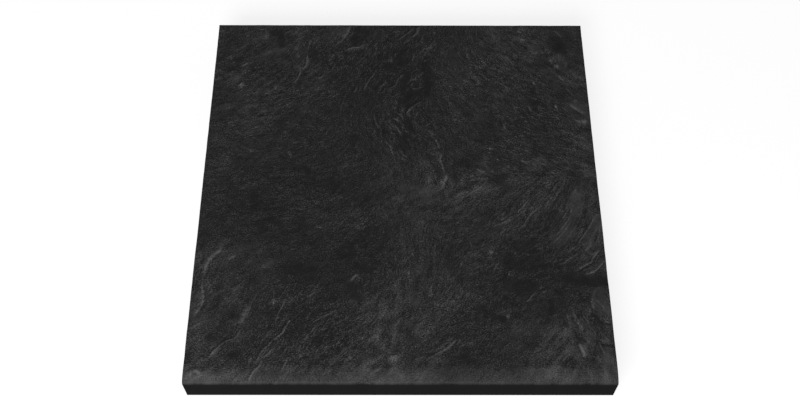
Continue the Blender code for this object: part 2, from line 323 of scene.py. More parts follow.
    (0.8, 1.9, 0.5, ((184, -151), (185, -157), (187, -164), (190, -170), (193, -177))),
    (0.5, 1, 0.2, ((180, -150), (184, -151), (186, -155))),
    (0.5, 1.2, 0.3, ((178, -165), (180, -171), (182, -176))),
    (0.6, 1.4, 0.2, ((174, -170), (173, -180), (171, -192))),
    (1.3, 1.9, 0.6, ((187, -190), (189, -196), (191, -201), (192, -208))),
    (0.5, 1.1, 0.6, ((221, -125), (214, -126), (209, -131), (207, -137), (205, -144),
     (206, -151))),
    (0.5, 1.8, 0.3, ((206, -141), (206, -146), (207, -151))),
    (0.5, 1.2, 0.2, ((208, -140), (213, -144), (217, -150), (218, -157))),
    (0.7, 1, 0.3, ((179, -201), (172, -208), (166, -213))),
    (0.6, 0.75, 0.2, ((164, -183), (160, -188))),
)

# Hairline cracks: how dark, how wide (mm), and the route.
CRACKS = (
    (1.2, 1.3, ((210, -191), (214, -193), (219, -194), (225, -195))),
    (0.8, 1.1, ((202, -156), (208, -161), (212, -166), (218, -169), (225, -171))),
    (0.7, 0.9, ((184, -153), (188, -158), (190, -164))),
    (0.5, 0.9, ((192, -150), (193, -160), (193, -170))),
    (0.7, 1.4, ((208, -177), (207, -185), (210, -190))),
    (0.6, 1.6, ((200, -187), (199, -194), (202, -198))),
    (0.6, 1.4, ((180, -167), (184, -178), (188, -185), (192, -189))),
    (0.5, 1.2, ((176, -205), (172, -210), (166, -213))),
    (0.5, 1.2, ((165, -128), (170, -132), (174, -137))),
    (0.5, 1, ((190, -128), (195, -135), (200, -142))),
    (0.5, 0.9, ((-222, 114), (-200, 119), (-181, 121))),
    (0.6, 0.9, ((183, -150), (189, -162), (196, -174))),
    (0.7, 0.9, ((-12, -204), (-7, -203), (-2, -204))),
    (0.8, 1.8, ((210, -180), (206, -191), (203, -198), (201, -207), (201, -216))),
    (0.5, 0.9, ((207, -198), (203, -209), (203, -217))),
    (0.6, 0.9, ((183, -201), (178, -208), (171, -213))), (0.5, 0.9, ((186, -207), (199, -208))),
    (0.5, 0.9, ((188, -133), (199, -143))), (0.4, 0.9, ((151, -59), (160, -60))),
    (0.4, 0.9, ((-195, 99), (-186, 100))), (0.4, 0.9, ((-157, 99), (-150, 100))),
    (0.4, 0.9, ((181, 68), (188, 64))), (0.5, 0.9, ((101, 146), (104, 141))),
    (0.5, 0.9, ((203, 121), (209, 126))), (0.4, 0.9, ((-180, 193), (-170, 190))),
)

# Wisps of tone: how much lighter (or, if negative, darker), the half-width in mm, and the
# route along the middle. Those under a heading with "later" were added, moved or retuned
# after the rest.
WISPS = (
    # the back left
    (0.45, 8, ((-124, 215), (-118, 195), (-114, 172))),
    (0.8, 3, ((-117, 168), (-124, 157), (-132, 147))), (0.5, 4, ((-133, 205), (-127, 201))),
    (0.5, 4, ((-104, 164), (-103, 157))), (0.9, 6, ((-204, 152), (-191, 143))),
    (0.45, 4, ((-180, 212), (-165, 218))), (0.4, 4, ((-192, 170), (-175, 183), (-150, 195))),
    (0.35, 7, ((-196, 82), (-172, 84))), (0.35, 6, ((-205, 108), (-180, 118))),
    (0.25, 5, ((-150, 140), (-170, 132))), (0.3, 4, ((-100, 215), (-88, 222))),
    (-0.3, 6, ((-153, 224), (-146, 216))), (-0.3, 6, ((-212, 165), (-196, 170))),
    (-0.4, 12, ((-100, 205), (-95, 180))), (-0.35, 10, ((-200, 205), (-215, 190))),
    (-0.35, 8, ((-180, 160), (-150, 165))), (-0.3, 12, ((-60, 100), (-110, 80))),
    (-0.35, 6, ((-141, 88), (-150, 82))),
    # the back middle
    (0.8, 4, ((-66, 196), (-55, 198), (-44, 199))),
    (0.35, 3, ((-62, 178), (-48, 170), (-50, 155))), (0.3, 4, ((-40, 215), (-26, 222))),
    (-0.4, 6, ((-46, 226), (-58, 210))), (-0.3, 6, ((-49, 72), (-42, 70))),
    (-0.4, 8, ((12, 202), (2, 190), (-6, 175))),
    (-0.5, 7, ((26, 178), (32, 160), (28, 140), (18, 124))), (-0.3, 10, ((8, 130), (16, 120))),
    (-0.6, 5, ((50, 218), (36, 200))), (0.35, 4, ((28, 230), (16, 205))),
    (0.3, 4, ((40, 205), (30, 192))), (0.35, 4, ((2, 163), (-12, 155), (-20, 145))),
    (0.3, 4, ((16, 170), (22, 186))), (0.3, 5, ((-15, 122), (-28, 112))),
    (0.3, 5, ((-18, 95), (-2, 92))), (-0.5, 5, ((5, 92), (12, 82))),
    (-0.3, 8, ((35, 105), (50, 90))), (0.25, 12, ((65, 190), (70, 130))),
    (0.3, 6, ((60, 95), (75, 90))), (-0.25, 8, ((40, 80), (60, 62))),
    # the back right
    (0.4, 6, ((120, 216), (125, 205))), (0.6, 5, ((146, 216), (158, 211))),
    (0.4, 8, ((130, 195), (150, 190))), (0.6, 4, ((190, 184), (193, 188))),
    (0.8, 4, ((186, 170), (191, 172))), (0.6, 4, ((94, 154), (94, 144))),
    (0.35, 6, ((205, 165), (218, 155))), (0.4, 6, ((130, 135), (140, 125))),
    (-0.5, 8, ((150, 128), (165, 118), (155, 108))), (-0.4, 9, ((165, 140), (190, 135))),
    (-0.35, 9, ((100, 120), (105, 150))), (-0.3, 10, ((120, 100), (140, 80))),
    (0.3, 5, ((122, 88), (126, 72))), (-0.35, 8, ((175, 90), (160, 75))),
    # across the middle, on the left
    (0.3, 5, ((-190, 60), (-165, 56))), (0.3, 5, ((-215, 30), (-195, 27))),
    (-0.35, 10, ((-60, 60), (-75, 45))), (-0.3, 8, ((-165, 65), (-150, 68))),
    (0.3, 6, ((-130, -18), (-100, -26))), (0.4, 6, ((-98, -48), (-76, -44))),
    (0.25, 5, ((-75, -10), (-60, -14))), (-0.3, 10, ((-168, -22), (-155, -30))),
    (-0.35, 10, ((-156, -45), (-140, -46))),
    # the middle
    (-0.3, 7, ((2, 68), (8, 58), (22, 52))), (0.35, 4, ((-15, 62), (-4, 40), (0, 25))),
    (0.4, 4, ((42, 62), (48, 45), (50, 28))), (0.45, 5, ((30, 32), (30, 26))),
    (-0.35, 8, ((15, 45), (12, 60))), (1, 6, ((52, 12), (44, 8), (36, 0))),
    (0.5, 6, ((20, -6), (40, -4), (60, -8))), (0.25, 12, ((80, -20), (60, -25))),
    (-0.4, 12, ((-50, 5), (-70, -8))), (-0.4, 8, ((-35, -12), (-40, -20))),
    (-0.35, 12, ((-20, -55), (-30, -75))), (-0.3, 10, ((50, -65), (62, -80))),
    # across the middle, on the right
    (0.3, 8, ((210, 60), (222, 30))), (-0.35, 8, ((95, 75), (110, 60))),
    (0.8, 5, ((96, 0), (84, -4), (70, -12))), (0.6, 5, ((86, 20), (100, 28))),
    (-0.6, 5, ((106, 8), (114, 12))), (0.5, 5, ((119, 17), (128, 6))),
    (0.45, 7, ((144, 34), (160, 31))), (0.5, 5, ((152, -8), (140, -24), (124, -42))),
    (0.45, 5, ((160, -20), (150, -34))), (0.3, 12, ((185, 0), (175, -30))),
    (-0.4, 8, ((148, -60), (172, -48))), (-0.35, 8, ((100, -40), (92, -60))),
    (0.25, 5, ((110, -62), (96, -76))), (0.3, 8, ((140, 5), (150, -5))),
    # the front left
    (1, 6, ((-222, -92), (-212, -86), (-202, -80))), (0.35, 10, ((-190, -85), (-160, -80))),
    (0.5, 5, ((-153, -100), (-144, -98))), (0.3, 9, ((-130, -85), (-140, -115))),
    (0.9, 5, ((-163, -152), (-167, -160), (-171, -172))), (0.4, 5, ((-175, -185), (-160, -178))),
    (0.35, 5, ((-66, -153), (-90, -163), (-100, -180))), (0.5, 4, ((-139, -144), (-132, -144))),
    (0.4, 8, ((-140, -215), (-120, -222))), (0.3, 7, ((-60, -205), (-80, -215))),
    (-0.4, 7, ((-108, -104), (-86, -107))), (-0.3, 6, ((-178, -158), (-186, -166))),
    (-0.45, 8, ((-112, -156), (-122, -180))), (-0.4, 9, ((-90, -145), (-65, -130))),
    (-0.35, 8, ((-75, -180), (-85, -195))), (-0.5, 5, ((-176, -206), (-160, -204))),
    (-0.35, 6, ((-170, -88), (-176, -92))),
    # the front middle
    (0.7, 4, ((-55, -118), (-47, -112))), (-0.3, 8, ((-52, -90), (-30, -80))),
    (0.8, 7, ((-34, -144), (-20, -148), (-18, -160))), (0.7, 7, ((-32, -168), (-30, -180))),
    (0.9, 6, ((-6, -192), (-8, -206), (-6, -216))), (0.4, 12, ((-30, -205), (-5, -225))),
    (0.8, 7, ((20, -180), (30, -165), (36, -158))),
    (0.4, 9, ((45, -152), (65, -140), (80, -128))), (0.3, 10, ((50, -110), (80, -105))),
    (0.45, 4, ((56, -193), (42, -199), (26, -206))), (-0.35, 6, ((0, -175), (5, -190))),
    (-0.4, 8, ((60, -178), (75, -170))), (0.35, 4, ((20, -215), (40, -212))),
    # the front right
    (0.35, 12, ((200, -70), (175, -88))), (0.5, 8, ((212, -208), (214, -230))),
    (-0.5, 8, ((66, -208), (84, -206))), (-0.6, 10, ((120, -108), (150, -112))),
    (-0.6, 6, ((172, -116), (196, -119), (224, -121))), (-0.5, 12, ((110, -125), (140, -130))),
    (-0.4, 8, ((158, -150), (172, -146))), (-0.4, 8, ((185, -138), (192, -130))),
    (-0.6, 6, ((96, -162), (112, -166))), (-0.4, 10, ((130, -160), (145, -170))),
    (0.45, 6, ((106, -95), (98, -110))), (0.4, 5, ((222, -100), (202, -108))),
    (0.9, 5, ((183, -158), (190, -174))), (0.9, 6, ((174, -178), (172, -194))),
    (0.5, 5, ((188, -198), (192, -204))), (0.45, 8, ((210, -145), (218, -165))),
    (0.35, 9, ((205, -180), (218, -200))), (0.3, 9, ((140, -215), (180, -220))),
    (0.35, 4, ((140, -165), (152, -172))), (0.4, 5, ((100, -85), (104, -80))),
    # the nose, lighter towards the left: partly painted light from the lamp at the front left
    (0.7, 5, ((-217, -228), (-210, -229))), (0.4, 4, ((-200, -231), (-190, -230))),
    (0.5, 2, ((-183, -221), (-178, -232))), (0.4, 4, ((-175, -231), (-160, -232))),
    (0.3, 8, ((-220, -228), (-165, -228))), (-0.3, 8, ((-145, -226), (-115, -226))),
    (-0.3, 6, ((-105, -224), (-70, -226))), (0.4, 3, ((-58, -226), (-52, -231))),
    (0.5, 5, ((-40, -223), (-25, -226))), (0.3, 8, ((-20, -224), (-5, -228))),
    (-0.3, 6, ((5, -224), (10, -226))), (0.4, 4, ((22, -230), (30, -228))),
    (-0.5, 8, ((34, -226), (50, -230))), (-0.5, 7, ((55, -226), (75, -228))),
    (-0.4, 7, ((78, -226), (125, -228))), (0.2, 5, ((132, -228), (142, -228))),
    (0.7, 5, ((155, -220), (154, -230))), (0.5, 3, ((172, -231), (176, -224))),
    (0.4, 3, ((184, -225), (188, -227))), (-0.3, 4, ((192, -222), (198, -226))),
    # broad drifts
    (0.3, 16, ((-185, 115), (-150, 105))), (-0.45, 18, ((-70, 180), (-75, 130))),
    (-0.5, 22, ((-35, 205), (-10, 160), (-30, 130))), (0.35, 14, ((110, 215), (150, 190))),
    (0.35, 16, ((0, 20), (15, 0))), (0.3, 22, ((20, -40), (15, -90))),
    (-0.2, 22, ((-160, 10), (-120, 5), (-80, 8))), (-0.4, 14, ((-200, -30), (-190, -50))),
    (0.3, 16, ((-180, -110), (-190, -140))), (-0.5, 16, ((-130, -62), (-100, -70))),
    (-0.45, 24, ((-95, -95), (-40, -80))), (0.4, 16, ((-50, -150), (-20, -175))),
    (0.35, 14, ((5, -125), (30, -135))), (-0.6, 18, ((130, -85), (160, -92))),
    (-0.4, 14, ((90, -192), (120, -205))),
    # retuned later
    (-0.25, 7, ((191, 212), (196, 200), (193, 193))), (-0.4, 6, ((200, 200), (212, 208))),
    (0.2, 5, ((202, 115), (212, 108), (222, 100))), (0.6, 4, ((215, 89), (221, 87))),
    (0.1, 9, ((200, 72), (215, 55))),
    (0.5, 6, ((200, 2), (196, -20), (190, -42), (178, -60), (164, -72))),
    (0.7, 8, ((226, -38), (216, -66), (204, -84))), (0.2, 6, ((-222, -205), (-210, -215))),
    (0.2, 8, ((-165, -222), (-150, -212))), (0.15, 12, ((150, -185), (165, -205))),
    (-0.22, 60, ((-190, 40), (-110, 0))), (-0.2, 55, ((-160, -130), (-100, -160))),
    # later, the back left
    (0.35, 9, ((-76, 228), (-68, 222))), (-0.3, 8, ((-214, 124), (-206, 118))),
    (-0.3, 8, ((-156, 144), (-146, 138))), (0.25, 10, ((-100, 162), (-95, 140))),
    (-0.15, 10, ((-192, 140), (-185, 128))), (-0.35, 13, ((-186, 196), (-176, 164))),
    (0.35, 12, ((-100, 160), (-94, 140))), (0.5, 8, ((-196, 200), (-186, 200))),
    (0.4, 7, ((-206, 150), (-186, 148))), (0.4, 8, ((-172, 124), (-176, 106))),
    (0.35, 9, ((-140, 98), (-128, 100))), (0.35, 9, ((-70, 108), (-60, 100))),
    (-0.3, 6, ((-208, 166), (-200, 162))), (-0.35, 7, ((-204, 86), (-196, 82))),
    (-0.3, 7, ((-158, 98), (-150, 96))), (-0.3, 7, ((-114, 184), (-108, 174))),
    # later, the back middle
    (-0.3, 9, ((-12, 146), (-6, 138))), (-0.25, 10, ((30, 105), (35, 95))),
    (0.35, 10, ((-38, 118), (-22, 122))), (0.4, 8, ((-40, 222), (-32, 212))),
    (-0.4, 7, ((14, 214), (22, 210))),
    # later, the back right
    (-0.5, 7, ((196, 110), (208, 92))), (0.4, 9, ((190, 204), (220, 200))),
    (0.3, 10, ((125, 222), (142, 222))), (-0.4, 13, ((152, 108), (160, 82))),
    (0.35, 10, ((130, 126), (132, 110))), (0.25, 8, ((205, 126), (198, 84))),
    (-0.4, 8, ((68, 88), (74, 74))), (0.5, 9, ((217, 88), (219, 70))),
    (0.35, 7, ((190, 128), (212, 126))), (0.5, 7, ((78, 108), (88, 98))),
    (0.5, 8, ((132, 192), (140, 186))), (0.35, 8, ((108, 196), (112, 178))),
    (0.5, 7, ((134, 132), (142, 126))), (0.3, 6, ((92, 148), (98, 140))),
    (-0.3, 7, ((92, 208), (100, 204))), (-0.25, 8, ((150, 188), (158, 180))),
    (-0.3, 8, ((108, 82), (124, 80))), (-0.3, 7, ((154, 94), (148, 84))),
    # later, across the middle, on the left
    (-0.3, 8, ((-114, 64), (-106, 58))), (-0.3, 10, ((-152, -34), (-132, -40))),
    (0.3, 9, ((-150, 68), (-140, 56))), (-0.45, 13, ((-150, -30), (-126, -50))),
    (-0.4, 8, ((-216, -70), (-206, -78))), (-0.25, 12, ((-90, -20), (-80, -35))),
    (-0.4, 9, ((-128, -36), (-126, -52))), (-0.3, 8, ((-166, -38), (-154, -38))),
    (-0.3, 8, ((-98, -16), (-74, -14))), (-0.3, 8, ((-148, 0), (-132, -2))),
    (-0.25, 8, ((-200, 2), (-178, 0))), (-0.25, 8, ((-134, 18), (-118, 14))),
    # later, the middle
    (-0.25, 8, ((-32, 66), (-26, 58))), (0.65, 11, ((42, 8), (92, 5))),
    (0.5, 8, ((44, 16), (40, -12))), (0.35, 6, ((45, 22), (54, 22))),
    (0.8, 8, ((56, -46), (70, -47))), (-0.4, 9, ((56, -20), (58, -34))),
    (0.6, 7, ((46, -4), (44, -18))), (-0.4, 6, ((28, 18), (34, 10))),
    # later, across the middle, on the right
    (0.45, 9, ((217, 42), (215, 32))), (0.4, 7, ((214, 6), (208, -4))),
    (-0.45, 8, ((137, 8), (146, 2))), (-0.25, 10, ((163, -30), (172, -36))),
    (-0.35, 9, ((128, 50), (134, 34))), (0.6, 9, ((148, 26), (170, 18))),
    (0.7, 8, ((214, 2), (216, -10))), (-0.4, 7, ((128, -32), (134, -48))),
    (-0.6, 7, ((68, 36), (82, 30))), (0.5, 6, ((170, 40), (164, 10))),
    (0.6, 8, ((68, -2), (84, 4))), (-0.4, 7, ((66, 18), (90, 16))),
    (0.4, 9, ((112, 14), (126, 10))), (0.35, 7, ((98, 28), (104, 34))),
    (-0.5, 9, ((142, -26), (140, -38))), (0.3, 8, ((158, -36), (168, -42))),
    (0.3, 9, ((192, -38), (198, -50))), (-0.3, 6, ((178, -22), (184, -34))),
    # later, the front left
    (0.4, 9, ((-218, -196), (-188, -200))), (0.4, 9, ((-206, -142), (-194, -149))),
    (-0.5, 13, ((-130, -104), (-108, -122))), (0.3, 6, ((-95, -217), (-30, -217))),
    (0.25, 6, ((-215, -218), (-180, -218))), (-0.3, 9, ((-134, -152), (-126, -166))),
    (-0.3, 7, ((-154, -214), (-142, -220))), (0.15, 8, ((-222, -150), (-215, -215))),
    (0.6, 8, ((-220, -98), (-217, -140), (-216, -185))), (0.5, 7, ((-222, -146), (-212, -156))),
    (1, 6, ((-205, -206), (-192, -200))), (-0.5, 8, ((-210, -187), (-192, -188))),
    (-0.4, 4, ((-120, -172), (-112, -166))), (-0.4, 4, ((-140, -152), (-130, -156))),
    (0.5, 3, ((-180, -168), (-173, -165))), (0.4, 5, ((-218, -166), (-206, -176))),
    (0.5, 3, ((-120, -162), (-117, -168))), (0.4, 4, ((-104, -170), (-92, -166))),
    (0.4, 4, ((-112, -186), (-104, -200))), (0.4, 3, ((-136, -184), (-130, -180))),
    (-0.5, 6, ((-102, -200), (-92, -208))), (-0.4, 7, ((-58, -147), (-80, -162), (-104, -180))),
    (-0.4, 7, ((-60, -180), (-75, -194))), (-0.3, 7, ((-170, -210), (-158, -216))),
    (0.4, 9, ((-196, -102), (-178, -104))), (0.5, 8, ((-88, -204), (-78, -208))),
    (0.35, 9, ((-128, -206), (-112, -206))),
    # later, the front middle
    (0.4, 9, ((-34, -198), (-8, -200))), (0.55, 9, ((30, -162), (38, -168))),
    (-0.1, 8, ((-60, -118), (-50, -132))), (1, 12, ((-16, -182), (-20, -206))),
    (-0.6, 7, ((8, -182), (12, -174))), (-0.35, 7, ((44, -176), (54, -184))),
    (0.5, 7, ((-20, -216), (-6, -219))), (-0.4, 11, ((48, -100), (66, -112))),
    (0.35, 12, ((-14, -138), (8, -160))), (0.7, 8, ((-8, -196), (-18, -216))),
    (-0.5, 5, ((16, -155), (20, -162))), (0.5, 7, ((-14, -176), (-2, -166), (10, -152))),
    (-0.4, 6, ((-8, -156), (2, -144))), (-0.3, 6, ((48, -186), (54, -194))),
    (-0.3, 7, ((54, -164), (62, -172))),
    # later, the front right
    (-0.3, 9, ((146, -94), (154, -102))), (-0.2, 9, ((196, -182), (202, -190))),
    (0.5, 9, ((190, -198), (212, -202))), (0.4, 9, ((164, -172), (180, -196))),
    (0.35, 6, ((212, -198), (216, -216))), (0.2, 6, ((214, -180), (222, -188))),
    (-0.7, 12, ((100, -160), (118, -155))), (0.3, 8, ((145, -176), (152, -198))),
    (0.35, 9, ((124, -176), (136, -190))), (-0.35, 7, ((66, -192), (76, -200))),
    (0.35, 6, ((124, -216), (136, -220))), (0.45, 8, ((182, -186), (188, -212))),
    (0.4, 9, ((212, -80), (218, -98))), (-0.3, 6, ((200, -84), (196, -94))),
    (-0.6, 7, ((106, -152), (114, -154))), (0.5, 8, ((116, -166), (134, -162))),
    (0.5, 9, ((142, -184), (178, -190))), (-0.4, 7, ((160, -170), (168, -174))),
    (-0.3, 6, ((176, -156), (182, -162))), (0.6, 8, ((202, -164), (212, -168))),
    (0.5, 8, ((222, -184), (222, -204))), (0.5, 8, ((176, -208), (184, -214))),
    # later, the nose, lighter towards the left: partly painted light from the lamp at the front
    # left
    (0.4, 5, ((-224, -226), (-150, -226))), (0.2, 4, ((-120, -227), (-90, -227))),
    (-0.15, 5, ((-20, -231), (225, -231))),
    # later, broad drifts
    (-0.38, 50, ((-15, 120), (0, 205))), (-0.4, 20, ((-175, -35), (-135, -40))),
    (-0.35, 18, ((-125, 60), (-112, 15))), (-0.6, 15, ((-28, -100), (-40, -115), (-30, -138))),
    (-0.7, 15, ((-92, -162), (-62, -172))), (-0.3, 14, ((-165, -160), (-140, -185))),
    (-0.45, 16, ((100, -110), (165, -112))), (0.25, 22, ((120, 210), (190, 150))),
    (-0.3, 14, ((-5, 150), (30, 140))), (-0.45, 14, ((-14, 178), (8, 145))),
    (0.15, 30, ((125, 140), (65, 122))), (0.12, 20, ((-125, 175), (-90, 155))),
    (0.1, 18, ((-190, 58), (-165, 52))), (0.12, 18, ((-105, -60), (-100, -88))),
    (0.13, 18, ((-55, -2), (-10, -8), (60, -20))), (0.12, 18, ((-10, -50), (-10, -80))),
    (0.15, 20, ((-25, -150), (25, -138))), (0.13, 16, ((165, 35), (175, 70))),
    (0.22, 14, ((216, 20), (216, -6))), (0.2, 14, ((-220, -140), (-220, -225))),
    (0.1, 18, ((-185, -92), (-165, -100))), (0.12, 20, ((125, -68), (155, -85))),
    (0.15, 18, ((175, -190), (215, -195))), (0.15, 14, ((214, 222), (216, 196))),
    (0.1, 16, ((-140, 98), (-122, 90))), (0.1, 16, ((112, -196), (118, -218))),
    (0.1, 16, ((90, -30), (130, -38))), (-0.1, 22, ((-190, 195), (-170, 175))),
    (-0.13, 20, ((-170, -30), (-140, -48))), (-0.14, 14, ((-222, -25), (-216, -70))),
    (-0.16, 18, ((-82, -160), (-72, -185))), (-0.15, 18, ((-55, -108), (-36, -118))),
    (-0.13, 20, ((60, -82), (84, -92))), (-0.1, 22, ((88, 70), (90, 25))),
    (-0.1, 20, ((-40, 50), (35, 55))), (-0.07, 22, ((0, 140), (10, 100))),
    (-0.07, 20, ((130, 95), (155, 90))), (-0.07, 16, ((160, -132), (170, -150))),
    (-0.07, 16, ((-135, -138), (-120, -150))), (-0.1, 14, ((68, -185), (72, -205))),
)

# Patches where a whole leaf came off clean, so that they are smooth: how much lighter or
# darker, the half-width in mm, and the route along the middle.
PATCHES = (
    # lighter
    (0.45, 4, ((-170, 215), (-165, 216), (-164, 222))), (0.22, 3, ((-200, 149), (-195, 155))),
    (0.18, 3, ((-191, 203), (-193, 198))), (0.14, 4, ((-178, 186), (-173, 184))),
    (0.22, 8, ((-88, 220), (-76, 224))), (0.25, 4, ((-152, 196), (-147, 196))),
    (0.15, 4, ((-165, 184), (-157, 186))), (0.2, 4, ((-210, 178), (-206, 174))),
    (0.3, 3, ((-138, 203), (-131, 203))), (0.12, 3, ((-128, 116), (-126, 113))),
    (0.12, 6, ((65, 186), (66, 174))), (0.15, 4, ((124, 218), (128, 217))),
    (0.2, 5, ((162, 200), (167, 196))), (0.5, 2.5, ((193, 187), (194, 181))),
    (0.3, 5, ((197, 173), (199, 172))), (0.15, 4, ((196, 155), (199, 153))),
    (0.2, 6, ((209, 111), (218, 104))), (0.25, 4, ((219, 97), (220, 91))),
    (0.3, 2.5, ((153, 111), (156, 106))), (0.25, 3, ((95, 148), (95, 143))),
    (0.3, 3, ((154, 37), (161, 35))), (0.2, 3, ((171, 32), (179, 33))),
    (0.15, 5, ((3, 1), (6, -2))), (0.28, 5, ((27, -4), (28, -14))),
    (0.25, 3, ((155, -29), (158, -28))), (0.2, 3, ((88, -62), (99, -62))),
    (0.15, 3, ((86, -63), (87, -70))), (0.1, 4, ((38, -52), (48, -53))),
    (0.2, 3, ((-172, -45), (-170, -46))), (0.2, 3, ((-147, -96), (-141, -96))),
    (0.2, 3, ((-196, -133), (-192, -134))), (0.12, 4, ((-130, -208), (-127, -205))),
    (0.2, 4, ((14, -143), (16, -147))), (0.2, 4, ((13, -173), (18, -175))),
    (0.25, 8, ((213, -134), (216, -150))), (0.2, 5, ((214, -199), (216, -213))),
    (0.16, 6, ((199, -12), (197, -30))), (0.13, 8, ((194, -42), (187, -57), (174, -70))),
    (0.16, 6, ((220, -46), (213, -58), (205, -70))),
    # darker, at the back
    (-0.3, 5, ((-154, 225), (-148, 223))), (-0.28, 5, ((-145, 215), (-146, 206))),
    (-0.3, 4, ((-208, 167), (-204, 165))), (-0.25, 2.5, ((-198, 179), (-197, 171))),
    (-0.25, 4, ((-124, 144), (-123, 141))), (-0.2, 4, ((-104, 195), (-104, 186))),
    (-0.22, 2.5, ((-112, 194), (-111, 186))), (-0.2, 3, ((-214, 122), (-213, 118))),
    (-0.28, 5, ((-142, 89), (-137, 84))), (-0.2, 3, ((-205, 84), (-203, 82))),
    (-0.3, 5, ((-51, 228), (-43, 226))), (-0.25, 6, ((-57, 216), (-53, 208))),
    (-0.16, 7, ((5, 196), (2, 178))), (-0.14, 6, ((-16, 172), (-6, 172))),
    (-0.05, 4, ((5, 160), (4, 140))), (-0.2, 4, ((15, 215), (22, 212))),
    (-0.25, 4, ((24, 175), (34, 173))), (-0.28, 5, ((33, 170), (32, 134))),
    (-0.2, 4, ((8, 148), (6, 142))), (-0.28, 5, ((10, 130), (22, 129))),
    (-0.28, 8, ((8, 121), (14, 117))), (-0.22, 4, ((10, 86), (12, 76))),
    (-0.28, 5, ((4, 68), (5, 54))), (-0.2, 5, ((-57, 68), (-54, 62))),
    (-0.22, 3, ((34, 40), (36, 38))), (-0.34, 8, ((189, 213), (193, 206))),
    (-0.34, 5, ((190, 200), (202, 198))), (-0.2, 4, ((152, 176), (156, 172))),
    (-0.15, 4, ((113, 166), (115, 164))), (-0.22, 3, ((158, 137), (160, 131))),
    (-0.25, 3, ((101, 148), (104, 142))), (-0.3, 3, ((191, 164), (196, 163))),
    # darker, across the middle
    (-0.15, 4, ((-112, 26), (-103, 24))), (-0.2, 5, ((-166, -13), (-163, -26))),
    (-0.15, 4, ((-192, -3), (-186, -5))), (-0.25, 5, ((-155, -44), (-154, -54))),
    (-0.25, 4, ((-147, -43), (-136, -46))), (-0.2, 3, ((-132, -31), (-130, -32))),
    (-0.15, 3, ((-215, -55), (-215, -60))), (-0.15, 5, ((-80, 8), (-74, 4))),
    (-0.2, 3.5, ((-37, -14), (-36, -18))), (-0.2, 3, ((-62, -4), (-62, -8))),
    (-0.3, 2.5, ((-42, -57), (-38, -58))), (-0.3, 1.8, ((-73, -42), (-72, -43))),
    (-0.28, 4, ((75, 34), (77, 29))), (-0.22, 5, ((113, 9), (116, 5))),
    (-0.2, 3, ((63, -55), (64, -59))), (-0.22, 5, ((174, -36), (176, -42))),
    (-0.25, 4, ((164, -55), (167, -56))),
    # darker, at the front
    (-0.16, 8, ((-122, -104), (-100, -107))), (-0.2, 3, ((-142, -106), (-141, -108))),
    (-0.2, 5, ((-60, -74), (-54, -77))), (-0.2, 5, ((-66, -86), (-54, -90))),
    (-0.2, 5, ((-46, -104), (-36, -106))), (-0.1, 4, ((-54, -126), (-43, -126))),
    (-0.2, 4, ((-48, -137), (-44, -139))), (-0.25, 3.5, ((-91, -154), (-85, -154))),
    (-0.2, 3, ((-88, -183), (-87, -184))), (-0.24, 3, ((-116, -171), (-116, -177))),
    (-0.2, 3, ((-74, -171), (-73, -172))), (-0.3, 4, ((-179, -159), (-171, -163))),
    (-0.3, 4, ((-201, -186), (-185, -190))), (-0.25, 4, ((-176, -205), (-170, -203))),
    (-0.3, 3, ((0, -173), (1, -176))), (-0.2, 4, ((54, -73), (55, -77))),
    (-0.2, 8, ((132, -74), (144, -77))), (-0.16, 9, ((120, -98), (152, -97))),
    (-0.2, 7, ((182, -115), (222, -120))), (-0.3, 4, ((168, -131), (169, -135))),
    (-0.35, 5, ((163, -145), (163, -154))), (-0.4, 5, ((103, -164), (109, -163))),
    (-0.2, 4, ((83, -153), (88, -154))), (-0.3, 4, ((66, -207), (70, -208))),
    (-0.15, 4, ((75, -205), (77, -209))), (-0.3, 3, ((167, -216), (169, -219))),
    (-0.14, 9, ((118, -124), (140, -126))),
)

# Where the grain is coarser (or, if negative, finer): by how much, and the radius and the
# middle of the round area, in mm.
COARSER = (
    (0.2, 75, (0, 150)), (0.15, 60, (-70, 200)), (-0.15, 40, (-150, 60)), (0.1, 60, (150, 150)),
    (0.25, 60, (-110, -190)), (0.2, 40, (-70, -190)), (0.65, 26, (-202, -205)),
    (-0.12, 80, (100, -60)), (0.1, 50, (-190, 190)),
)

# Strands: thin broken edges that run along the grain. How many, how light, how long in mm,
# and the round area that they are in: its middle and its radius.
STRANDS = (
    (36, 0.5, 30, (-115, -185), 55), (26, 0.45, 15, (-62, -182), 36),
    (44, 0.4, 30, (150, -42), 42), (20, 0.4, 20, (198, -70), 30), (44, 0.42, 20, (-10, 165), 45),
    (24, 0.42, 18, (-45, 200), 32), (20, 0.42, 18, (15, 205), 26), (34, 0.42, 16, (5, 85), 36),
    (26, 0.35, 14, (-90, 190), 36), (26, 0.4, 16, (60, -192), 38), (16, 0.4, 12, (195, -180), 28),
    (16, 0.4, 14, (-200, -130), 30), (24, 0.35, 12, (80, 5), 36), (50, 0.3, 8, (150, 110), 70),
    (30, 0.3, 8, (130, 190), 60), (50, 0.28, 8, (-150, 170), 70), (40, 0.25, 10, (0, -60), 90),
    (60, 0.22, 10, (-150, 60), 80), (30, 0.25, 10, (110, -120), 60), (40, 0.25, 9, (170, 20), 60),
)

